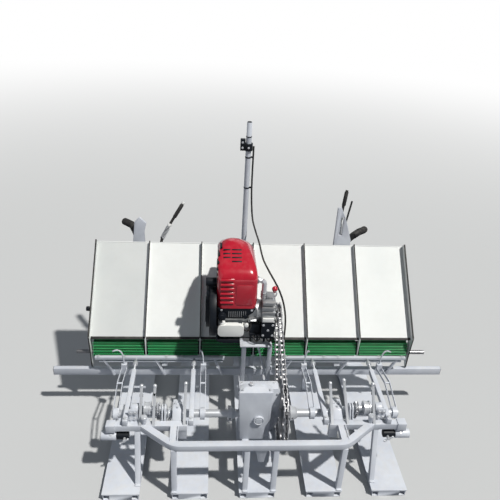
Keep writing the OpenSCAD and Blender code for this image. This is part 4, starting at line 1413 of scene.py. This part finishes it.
@dataclass
class EngineDress:
    """Louvre lips, cover shell, black vent strips of painted shade, ribs, hoses, seam, knobs and screws of
    the engine.
    """

    cover_front: float = 172.0
    cover_left: float = -129.0
    starter: Flat = (215, 438)
    starter_x: float = -148.0
    starter_rings: tuple[Flat, ...] = ((81.5, 0.5), (55.5, 0.5), (40, 13.5))
    reduction: Flat = (248.5, 395.6)
    hoses: tuple[tuple[float, tuple[Point, ...]], ...] = (
        (2.6, ((-42.5, 186, 400), (-34, 184, 404), (-27, 184, 414), (-27, 184, 424), (-32, 184, 432))),
        (2.6, ((-42.5, 186, 380), (-33, 180, 378), (-24, 178, 384), (-20, 180, 396), (-20, 186, 408))),
        (2.2, ((-10, 188, 356), (-6, 182, 344), (2, 180, 336), (10, 182, 344), (14, 188, 356))),
        (2.2, ((30, 186, 356), (36, 181, 342), (44, 180, 336), (50, 186, 346), (52, 192, 358))))
    mount_screws: tuple[Flat, ...] = ((20, 404), (50, 404), (35, 384), (20, 364), (50, 364))

    def build(self, shop: Workshop) -> None:
        """Makes every engine detail.

        Args:
            shop: finishes, seats and trees.
        """
        self._lips(shop)
        shell = CoverShell()
        shell.build(shop)
        self._vent_shade(shop, shell)
        self._starter(shop)
        self._front(shop)
        self._fuel(shop)
        self._right(shop)
        self._exhaust(shop)

    def _lips(self, shop: Workshop) -> None:
        """Louvre lips and raised panel of the red cover.

        Args:
            shop: finishes, seats and trees.
        """
        lips = Piece("louvre_lips", Body.FRAME, "red_lacquer")
        y = self.cover_front
        for i in range(6):
            z = 490.5 + 16 * i
            lips.prism([(y + 1, z), (y - 3.2, z - 1.6), (y - 3.2, z - 0.4), (y + 1, z + 5)], -119, -77,
                       lambda v, w, x: at(x, v, w))
        lips.prism(rounded(-71, -17, 481, 552, 9), y - 0.6, y + 6,
                   lambda v, w, d: at(v, d + (w - 481) * 0.045, w))
        lips.done(shop.palette, edge=0.6)

    def _vent_shade(self, shop: Workshop, shell: CoverShell) -> None:
        """Black strips in the red cover's vents, painted shade standing in for their dark openings, and the
        screws below it.

        Args:
            shop: finishes, seats and trees.
            shell: the cover that they stand on.
        """
        vent_shade = Piece("cover_vent_shade", Body.FRAME, "black_moulding")
        # black strips where the cover's vent slots open: painted shade of the slots, which the smooth cover
        # shell lacks
        for i in range(6):
            z = 484 + 16 * i
            vent_shade.box((-117, shell.front(z) - 0.35, z), (-79, shell.front(z) + 3, z + 6))
        for z in range(546, 626, 13):
            x0, y0 = shell.sides(z)[0], shell.front(z)
            vent_shade.box((x0 - 0.7, y0 + 16, z), (x0 + 6, y0 + 44, z + 7))
        for x, wide, rows in ((-100, 22, (1, 2, 3)), (-70, 30, (0, 1, 2, 3))):
            for q, n in shop.faces.seats("engine_cover", [(x, 222 + 13 * i, 800) for i in rows], (0, 0, -1)):
                middle = q / MM + Vector((0, Y_MID, 0))
                reach = Vector((wide / 2, 2.4, 0.8))
                turn = Vector(n).to_track_quat("Z", "Y").to_matrix().to_4x4()
                vent_shade.box(tuple(middle - reach), tuple(middle + reach), turn)
        for i in range(7):
            z = 486 + 14 * i
            vent_shade.box((self.cover_left - 0.9, 196, z), (self.cover_left + 1, 286, z + 6))
        vent_shade.done(shop.palette, edge=0.4)
        screws = shop.faces.seats("crankcase_cover", [(-114, 100, 462), (-20, 100, 462)], (0, 1, 0))
        Studs("cover_screws", Body.FRAME, "zinc_plate", 2.6, 1.4, 3.6, 12).build(screws, shop)

    def _starter(self, shop: Workshop) -> None:
        """Radial ribs, rings and screws of the recoil starter.

        Args:
            shop: finishes, seats and trees.
        """
        y, z = self.starter
        x = self.starter_x
        ribs = Piece("starter_ribs", Body.FRAME, "black_moulding")
        for i in range(24):
            c, s = math.cos(math.radians(15 * i)), math.sin(math.radians(15 * i))
            corners = ((58, 1.6), (79, 1.6), (79, -1.6), (58, -1.6))
            ribs.prism([(y + r * c - w * s, z + r * s + w * c) for r, w in corners], x - 2.4, x + 1,
                       lambda v, w, d: at(d, v, w))
        ribs.done(shop.palette, edge=0.4)
        rings = Piece("starter_rings", Body.FRAME, "black_moulding")
        turns = [2 * math.pi * k / 48 for k in range(48)]
        for r, out in self.starter_rings:
            rings.tube([(x - out, y + r * math.cos(t), z + r * math.sin(t)) for t in turns], 1.8, 8,
                       closed=True)
        rings.done(shop.palette)
        screws = [(-300, y + 66 * math.cos(t), z + 66 * math.sin(t))
                  for t in (0.4, 1.45, 2.5, 3.6, 4.7, 5.75)]
        Studs("starter_screws", Body.FRAME, "zinc_plate", 2.6, 2.0, 4.0).build(
            shop.faces.seats("recoil_housing", screws, (1, 0, 0)), shop)

    def _front(self, shop: Workshop) -> None:
        """Cooling ribs and knobs under the cover.

        Args:
            shop: finishes, seats and trees.
        """
        ribs = Piece("cooling_ribs", Body.FRAME, "cast_alloy")
        for i in range(9):
            x = -92 + 6.5 * i
            ribs.box((x, 171.6, 438), (x + 2, 174.5, 458))
        ribs.done(shop.palette, edge=0.3)
        knob = Piece("choke_knob", Body.FRAME, "black_moulding")
        knob.rod((-112, 162, 444), (-112, 176, 444), 13, 12)
        knob.rod((-112, 158, 444), (-112, 163, 444), 9, 10)
        knob.rod((-40, 168, 440), (-40, 176, 440), 7)
        knob.done(shop.palette, edge=0.8)

    def _fuel(self, shop: Workshop) -> None:
        """Hoses with their fittings, the tank's cap and its seam.

        Args:
            shop: finishes, seats and trees.
        """
        hoses = Piece("fuel_hoses", Body.FRAME, "black_rubber")
        for r, path in self.hoses:
            hoses.tube(path, r)
        hoses.done(shop.palette)
        white = Piece("hose_fittings", Body.FRAME, "white_cap")
        white.rod((-34, 172, 404), (-34, 186, 404), 6.5)
        white.rod((-112, 178, 411), (-112, 178, 419.5), 11.5, 10.5, 28)
        white.box((16, 174.4, 416), (52, 181.4, 430))
        white.done(shop.palette, edge=0.7)
        seam = Piece("tank_seam", Body.FRAME, "tank_resin")
        seam.tube([(x, 190, z) for x, z in rounded(-124, -42, 368, 410.7, 14, steps=5)], 1.3, 8, closed=True)
        seam.done(shop.palette)

    def _right(self, shop: Workshop) -> None:
        """Screws, red knob and ribs of the reduction side.

        Args:
            shop: finishes, seats and trees.
        """
        turns = ((self.reduction, (2.4, 3.4, 4.4, 5.3)), (self.starter, (0.4, 1.2, 2.0, 2.9, 3.7)))
        heads = [(114, y + 27 * math.cos(t), z + 27 * math.sin(t))
                 for (y, z), angles in turns for t in angles]
        studs = shop.faces.seats("reduction_box", heads, (-1, 0, 0))
        studs += shop.faces.seats("engine_mount", [(x, 100, z) for x, z in self.mount_screws], (0, 1, 0))
        Studs("casting_screws", Body.FRAME, "zinc_plate", 3.0, 2.4, 4.2).build(studs, shop)
        ball = Piece("clutch_knob", Body.FRAME, "red_lacquer")
        ball.ball((48, 190, 531.3), 9)
        ball.rod((48, 191, 519), (48, 190.5, 526), 4.4, 6)
        ball.done(shop.palette)
        pipe = Piece("intake_ribs", Body.FRAME, "cast_alloy")
        for z in (492, 500, 508):
            pipe.rod((17.3, 205, z), (17.3, 205, z + 3), 10.4, sides=28)
        pipe.rod((-4.6, 205, 554), (-1, 205, 554), 11.5, sides=28)
        pipe.done(shop.palette, edge=0.4)

    def _exhaust(self, shop: Workshop) -> None:
        """Slots and screws of the muffler.

        Args:
            shop: finishes, seats and trees.
        """
        slots = Piece("muffler_slots", Body.FRAME, "oiled_steel")
        for i in range(5):
            slots.box((-92 + 12 * i, 387.4, 520), (-86 + 12 * i, 388.8, 560))
        slots.done(shop.palette, edge=0.3)
        screws = shop.faces.seats("muffler", [(-97, 500, 540), (-29, 500, 540)], (0, -1, 0))
        Studs("muffler_screws", Body.FRAME, "zinc_plate", 3.0, 2.4, 4.4).build(screws, shop)


@dataclass
class HandleDress:
    """Rings, collars, sleeves, springs, clips and screws of the controls behind the tray."""

    grip_y: float = 502.3
    grips: tuple[tuple[Point, ...], ...] = (
        ((-414, 16, 92), (-424, 34, 102), (-442, 58, 98), (-457, 82, 92)),
        ((358, 10, 86), (384, 26, 96), (406, 48, 92), (420, 82, 78)))
    ring_r: float = 12.9
    ring_half: float = 1.4
    collars: tuple[tuple[Point, Point, float], ...] = (
        ((-298, 543.5, 564), (-294, 546.5, 572), 7.4), ((308, 516, 618), (308.4, 516.6, 628), 7.6),
        ((-246.8, 576.4, 643.5), (-250.5, 574, 637), 5.7))
    sleeves: tuple[tuple[Point, Point, float], ...] = (
        ((-252.5, 572.8, 634.5), (-279, 555.4, 593.7), 6.8),
        ((323.2, 543.1, 711.9), (315, 528.2, 665.7), 6.8),
        ((326.5, 511, 606), (338, 511, 690), 3.2))
    springs: tuple[tuple[Point, Point, float, int], ...] = (
        ((-320.8, 508, 531), (-300, 540, 561.5), 7.2, 10), ((309, 513.6, 536), (308.6, 515, 600), 7.4, 13))
    spring_wire: float = 1.1
    pole: Flat = (-31, 525)
    clip_z: Flat = (832, 724)

    def build(self, shop: Workshop) -> None:
        """Makes the control details.

        Args:
            shop: finishes, seats and trees.
        """
        self._rings(shop)
        for name, finish, rods, edge in (("lever_collars", "white_cap", self.collars, 0.4),
                                         ("lever_sleeves", "black_rubber", self.sleeves, 0.6)):
            piece = Piece(name, Body.FRAME, finish)
            for start, end, r in rods:
                piece.rod(start, end, r)
            piece.done(shop.palette, edge=edge)
        springs = Piece("lever_springs", Body.FRAME, "zinc_plate")
        for start, end, r, turns in self.springs:
            springs.coil(start, end, r, self.spring_wire, turns)
        springs.done(shop.palette)
        self._pole(shop)

    def _rings(self, shop: Workshop) -> None:
        """Raised rings along both grips.

        Args:
            shop: finishes, seats and trees.
        """
        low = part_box("tray_rail")[0].z / MM
        rings = Piece("grip_rings", Body.FRAME, "black_rubber")
        for path in self.grips:
            points = [Vector((x, self.grip_y + y, low + z)) for x, y, z in path]
            for a, b in zip(points, points[1:]):
                ahead = (b - a).normalized()
                for t in (0.25, 0.5, 0.75, 1.0):
                    c = a.lerp(b, t)
                    half = self.ring_half * ahead
                    rings.rod(tuple(c - half), tuple(c + half), self.ring_r, sides=24)
        rings.done(shop.palette, edge=0.3)

    def _pole(self, shop: Workshop) -> None:
        """Clips and screws of the pole.

        Args:
            shop: finishes, seats and trees.
        """
        x, y = self.pole
        clips = Piece("cable_clips", Body.FRAME, "black_moulding")
        for z in self.clip_z:
            clips.rod((x, y, z), (x, y, z + 5), 9.8, sides=28)
            clips.box((x + 7, y - 2.5, z), (x + 19.5, y + 2.5, z + 5))
        clips.rod((x, y, 903), (x, y, 906), 9.7, sides=28)
        clips.done(shop.palette, edge=0.4)
        screws = shop.faces.seats("throttle_lever", [(-51, 400, 868), (-51, 400, 886), (x, 400, 870)],
                                  (0, 1, 0))
        Studs("pole_screws", Body.FRAME, "zinc_plate", 2.8, 2.4, 3.6).build(screws, shop)


@dataclass
class UnitDress:
    """Chain pins, grease nipples, lever bands, wing screws and breather round the planting units."""

    chain_x: float = 297.0
    chain_half: float = 4.5
    loop: tuple[Flat, Flat] = ((2, 203), (-14, 239.66))
    loop_r: float = 15.45
    loop_pitch: float = 8.0
    box_x: float = 240.0
    screw_x: float = 392.0
    bands: tuple[tuple[Point, Point, float], ...] = (
        ((-307.6, 0, 276), (-307.4, 4, 283), 5.6), ((-345.6, -6, 278), (-345.4, -2, 284), 5.2),
        ((345.6, -2, 280), (345.4, 2, 286), 5.2))
    breather: Flat = (-26, -25)

    def build(self, shop: Workshop) -> None:
        """Makes the unit details.

        Args:
            shop: finishes, seats and trees.
        """
        line = Loop(*self.loop, self.loop_r, self.loop_r)
        count = round(line.length / self.loop_pitch)
        places = [line.point(line.length * i / count) for i in range(count)]
        pins = [(at(side * self.chain_x + s * self.chain_half, *q), (s, 0, 0))
                for q in places for side in (-1, 1) for s in (-1, 1)]
        Studs("small_chain_pins", Body.FRAME, "zinc_plate", 1.7, 0.9, 2.0, 10).build(pins, shop)
        nipples = Piece("grease_nipples", Body.FRAME, "zinc_plate")
        for x in (-self.box_x, self.box_x):
            nipples.rod((x, -10, 237.6), (x, -10, 243), 3.2, 2.2)
            nipples.ball((x, -10, 244), 2.4)
            x += math.copysign(95, x)
            nipples.rod((x, -50, 242), (x, -50, 245), 10, 8)
        nipples.done(shop.palette, edge=0.2)
        bands = Piece("lever_bands", Body.FRAME, "black_moulding")
        for start, end, r in self.bands:
            bands.rod(start, end, r)
        bands.done(shop.palette, edge=0.3)
        wings = Piece("wing_screws", Body.FRAME, "zinc_plate")
        for x in (-self.screw_x, self.screw_x):
            tips = (x - 11, -75, 164), (x + 11, -75, 180)
            wings.rod((x, -63, 172), (x, -77, 172), 4)
            wings.rod(*tips, 2.8, sides=12)
            for tip in tips:
                wings.ball(tip, 3.6)
        wings.done(shop.palette, edge=0.3)
        x, y = self.breather
        plug = Piece("gearbox_breather", Body.FRAME, "zinc_plate")
        plug.rod((x, y, 339), (x, y, 344), 6, 5, 6)
        plug.rod((x, y, 343.5), (x, y, 347), 7.5, 6.5)
        plug.done(shop.palette, edge=0.4)


@dataclass
class ShaftDress:
    """Set screws of the main shaft."""

    hubs: Flat = (-84, 105)
    cranks: Flat = (-264.5, 264.5)
    axis: Flat = (2, 203)

    def build(self, shop: Workshop) -> None:
        """Makes the set screws.

        Args:
            shop: finishes, seats and trees.
        """
        y, z = self.axis
        screws = shop.faces.seats("main_shaft", [(x, -60, z) for x in self.hubs + self.cranks], (0, 1, 0))
        screws += shop.faces.seats("main_shaft", [(x, y, 150) for x in self.hubs], (0, 0, 1))
        Studs("shaft_screws", Body.SHAFT, "oiled_steel", 2.8, 1.2, 3.2).build(screws, shop)


@dataclass
class Camera:
    """Camera of the photograph's view."""

    place: Point = (-0.1572, -1.4574, 1.4443)
    yaw: float = 4.9
    depression: float = 28.6
    roll: float = 3.3
    focal_pixels: float = 553.5
    frame_pixels: int = 500
    sensor: float = 36.0

    def build(self) -> None:
        """Adds the camera and makes it the scene's."""
        yaw, dip, roll = (math.radians(v) for v in (self.yaw, self.depression, self.roll))
        ahead = Vector((math.sin(yaw) * math.cos(dip), math.cos(yaw) * math.cos(dip), -math.sin(dip)))
        right = Vector((math.cos(yaw), -math.sin(yaw), 0))
        up = right.cross(ahead)
        x_axis = math.cos(roll) * right + math.sin(roll) * up
        y_axis = -math.sin(roll) * right + math.cos(roll) * up
        data = bpy.data.cameras.new("view")
        data.sensor_width = self.sensor
        data.lens = self.focal_pixels / self.frame_pixels * self.sensor
        cam = bpy.data.objects.new("view", data)
        turned = Matrix((x_axis, y_axis, -ahead)).transposed().to_4x4()
        cam.matrix_world = Matrix.Translation(self.place) @ turned
        bpy.context.scene.collection.objects.link(cam)
        bpy.context.scene.camera = cam


@dataclass
class Studio:
    """Pale floor, white surroundings and soft light."""

    floor_size: float = 400.0
    floor_rough: float = 0.85
    floor_tones: tuple[Point, Point] = ((0.16, 0.17, 0.19), (0.46, 0.47, 0.475))
    fade: Flat = (1.5, 7.0)
    white: Point = (1.0, 1.0, 1.0)
    sky: Point = (0.78, 0.87, 1.0)
    sky_strength: float = 0.20
    sun_from: Point = (0.46, -0.36, 1.0)
    sun_colour: Point = (1.0, 0.975, 0.93)
    sun_strength: float = 4.1
    sun_spread: float = 2.0
    aim: Point = (0, 0, 0.3)

    def build(self) -> None:
        """Adds the floor, the world and the lamps."""
        bpy.context.scene.view_settings.view_transform = "Standard"
        self._world()
        self._floor()
        sun = self._lamp("sun", "SUN", self.sun_strength, Vector(self.sun_from))
        sun.data.angle = math.radians(self.sun_spread)
        sun.data.color = self.sun_colour
        for name, place, size, watts in (("fill", (-2.6, -1.8, 1.8), 3.0, 7),
                                         ("back", (0.4, 3.0, 2.6), 2.6, 12)):
            lamp = self._lamp(name, "AREA", watts, Vector(place) - Vector(self.aim))
            lamp.data.size = size
            lamp.location = place

    def _world(self) -> None:
        """World that lights softly and looks white to the camera."""
        world = bpy.data.worlds.new("surroundings")
        bpy.context.scene.world = world
        world.use_nodes = True
        tree = world.node_tree
        lit = tree.nodes["Background"]
        feed(tree, lit, {"Color": (*self.sky, 1), "Strength": self.sky_strength})
        seen = add(tree, "ShaderNodeBackground", {"Color": (*self.white, 1), "Strength": 1.0})
        mixed = add(tree, "ShaderNodeMixShader",
                    {0: self._seen_mask(tree), 1: lit.outputs[0], 2: seen.outputs[0]})
        feed(tree, tree.nodes["World Output"], {"Surface": mixed.outputs[0]})

    @staticmethod
    def _seen_mask(tree: bpy.types.NodeTree, glossy: bool = False) -> bpy.types.NodeSocket:
        """Mask of the rays that see the background.

        Args:
            tree: node tree to build in.
            glossy: whether gloss counts as well.

        Returns:
            The socket that carries the mask.
        """
        rays = add(tree, "ShaderNodeLightPath").outputs
        seen = reckon(tree, "MAXIMUM", rays["Is Camera Ray"], rays["Is Transmission Ray"])
        return reckon(tree, "MAXIMUM", seen, rays["Is Glossy Ray"]) if glossy else seen

    def _floor(self) -> None:
        """Large pale floor that keeps the machine's shadow."""
        half = self.floor_size / 2
        mesh = bpy.data.meshes.new("floor")
        mesh.from_pydata([(-half, -half, 0), (half, -half, 0), (half, half, 0), (-half, half, 0)], [],
                         [(0, 1, 2, 3)])
        floor = mesh_object("floor", mesh)
        mat = bpy.data.materials.new("floor_pale")
        mat.use_nodes = True
        tree = mat.node_tree
        shader = tree.nodes["Principled BSDF"]
        dark, pale = ((*tone, 1) for tone in self.floor_tones)
        feed(tree, shader, {"Roughness": self.floor_rough,
                            "Base Color": blend(tree, self._seen_mask(tree), dark, pale)})
        glow = add(tree, "ShaderNodeEmission", {"Color": (*self.white, 1)})
        reach = add(tree, "ShaderNodeVectorMath", {0: add(tree, PLACE).outputs["Object"]}, operation="LENGTH")
        near, far = self.fade
        away = add(tree, SPREAD, {"Value": reach.outputs["Value"], "From Min": near, "From Max": far},
                   interpolation_type="SMOOTHSTEP")
        share = reckon(tree, "MULTIPLY", away.outputs["Result"], self._seen_mask(tree, glossy=True))
        mixed = add(tree, "ShaderNodeMixShader", {0: share, 1: shader.outputs[0], 2: glow.outputs[0]})
        feed(tree, tree.nodes["Material Output"], {"Surface": mixed.outputs[0]})
        mesh.materials.append(mat)

    @staticmethod
    def _lamp(name: str, kind: str, energy: float, toward: Vector) -> bpy.types.Object:
        """Adds one lamp.

        Args:
            name: the lamp's name.
            kind: type of the lamp.
            energy: its strength.
            toward: direction from the machine to the lamp.

        Returns:
            The new lamp.
        """
        data = bpy.data.lights.new(name, kind)
        data.energy = energy
        lamp = bpy.data.objects.new(name, data)
        lamp.rotation_euler = (-toward).to_track_quat("-Z", "Y").to_euler()
        bpy.context.scene.collection.objects.link(lamp)
        return lamp


# CAD nodes that get broken edges: node, edge width in mm, segments
SOFT_EDGES = {
    "fuel_tank": (2.5, 3), "recoil_housing": (2.0, 2), "gearbox_case": (1.6, 2),
    "reduction_box": (1.2, 2), "clutch_housing": (1.2, 2), "crankcase_cover": (1.5, 2), "muffler": (1.5, 2),
    "tray_sheet": (0.5, 1), "tray_sides": (0.6, 1), "main_frame": (1.2, 2), "beam": (1.2, 2),
    "spine": (1.2, 2), "front_legs": (1.2, 2), "rear_struts": (1.2, 2), "rear_frame": (1.2, 2),
    "gate_left": (0.8, 2),
    "gate_right": (0.8, 2), "support_arms": (1.2, 2), "bearing_boxes": (1.2, 2), "unit_plates": (0.7, 2),
    "engine_stand": (0.8, 2), "engine_mount": (1.0, 2), "tray_rail": (1.0, 2), "handle_brackets": (1.0, 2),
    "tank_guard": (1.0, 2), "arm_pins": (0.8, 2), "arm_1": (0.4, 1), "arm_2": (0.4, 1), "arm_3": (0.4, 1),
    "arm_4": (0.4, 1), "float_1": (1.0, 2), "float_2": (1.0, 2), "float_3": (1.0, 2), "float_4": (1.0, 2),
    "float_5": (1.0, 2), "height_screws": (0.6, 1), "centre_pole": (0.8, 1), "throttle_lever": (1.0, 2),
    "unit_levers": (0.6, 1), "socket_plugs": (0.8, 1), "main_shaft": (0.8, 1), "bearing_cap": (0.8, 1),
}


class DressedNodes:
    """Every CAD node with its finish, most with broken edges too."""

    # Nodes whose finish is not the first one of their slot
    special = {"crankcase_cover": "black_moulding", "unit_levers": "zinc_plate",
               "clutch_housing": "cast_alloy", "reduction_box": "cast_alloy", "drive_chain": "chain_steel",
               "unit_chains": "chain_steel"}

    def build(self, palette: Palette) -> None:
        """Dresses the nodes.

        Args:
            palette: the built finishes.
        """
        record = frame["record"]
        slots = {s["node"]: s["material_slot"] for s in record["subparts"]}
        riders = {node: body for body, nodes in record["behaviour"]["bodies"].items() for node in nodes}
        for node, cad in frame["nodes"].items():
            finish = self.special.get(node, palette.by_slot[slots[node]])
            if node in SOFT_EDGES:
                edge, segments = SOFT_EDGES[node]
                piece = Softened(node, edge, segments, join_flats=not node.startswith("float")).build()
                palette.put(piece, finish)
                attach(piece, riders[node])
            else:
                palette.put(cad, finish)
            LOG.info("dressed %s in %s", node, finish)


def main() -> None:
    """Builds the camera, the light, the finishes and every piece."""
    logging.basicConfig(level=logging.INFO, format="%(name)s: %(message)s")
    Camera().build()
    Studio().build()
    shop = Workshop()
    DressedNodes().build(shop.palette)
    for step in (Hardware(), TubeEnds(), Net(), TrayTrim(), ChainPins(), EngineDress(), HandleDress(),
                 UnitDress(), ShaftDress()):
        step.build(shop)


if __name__ == "__main__":
    main()
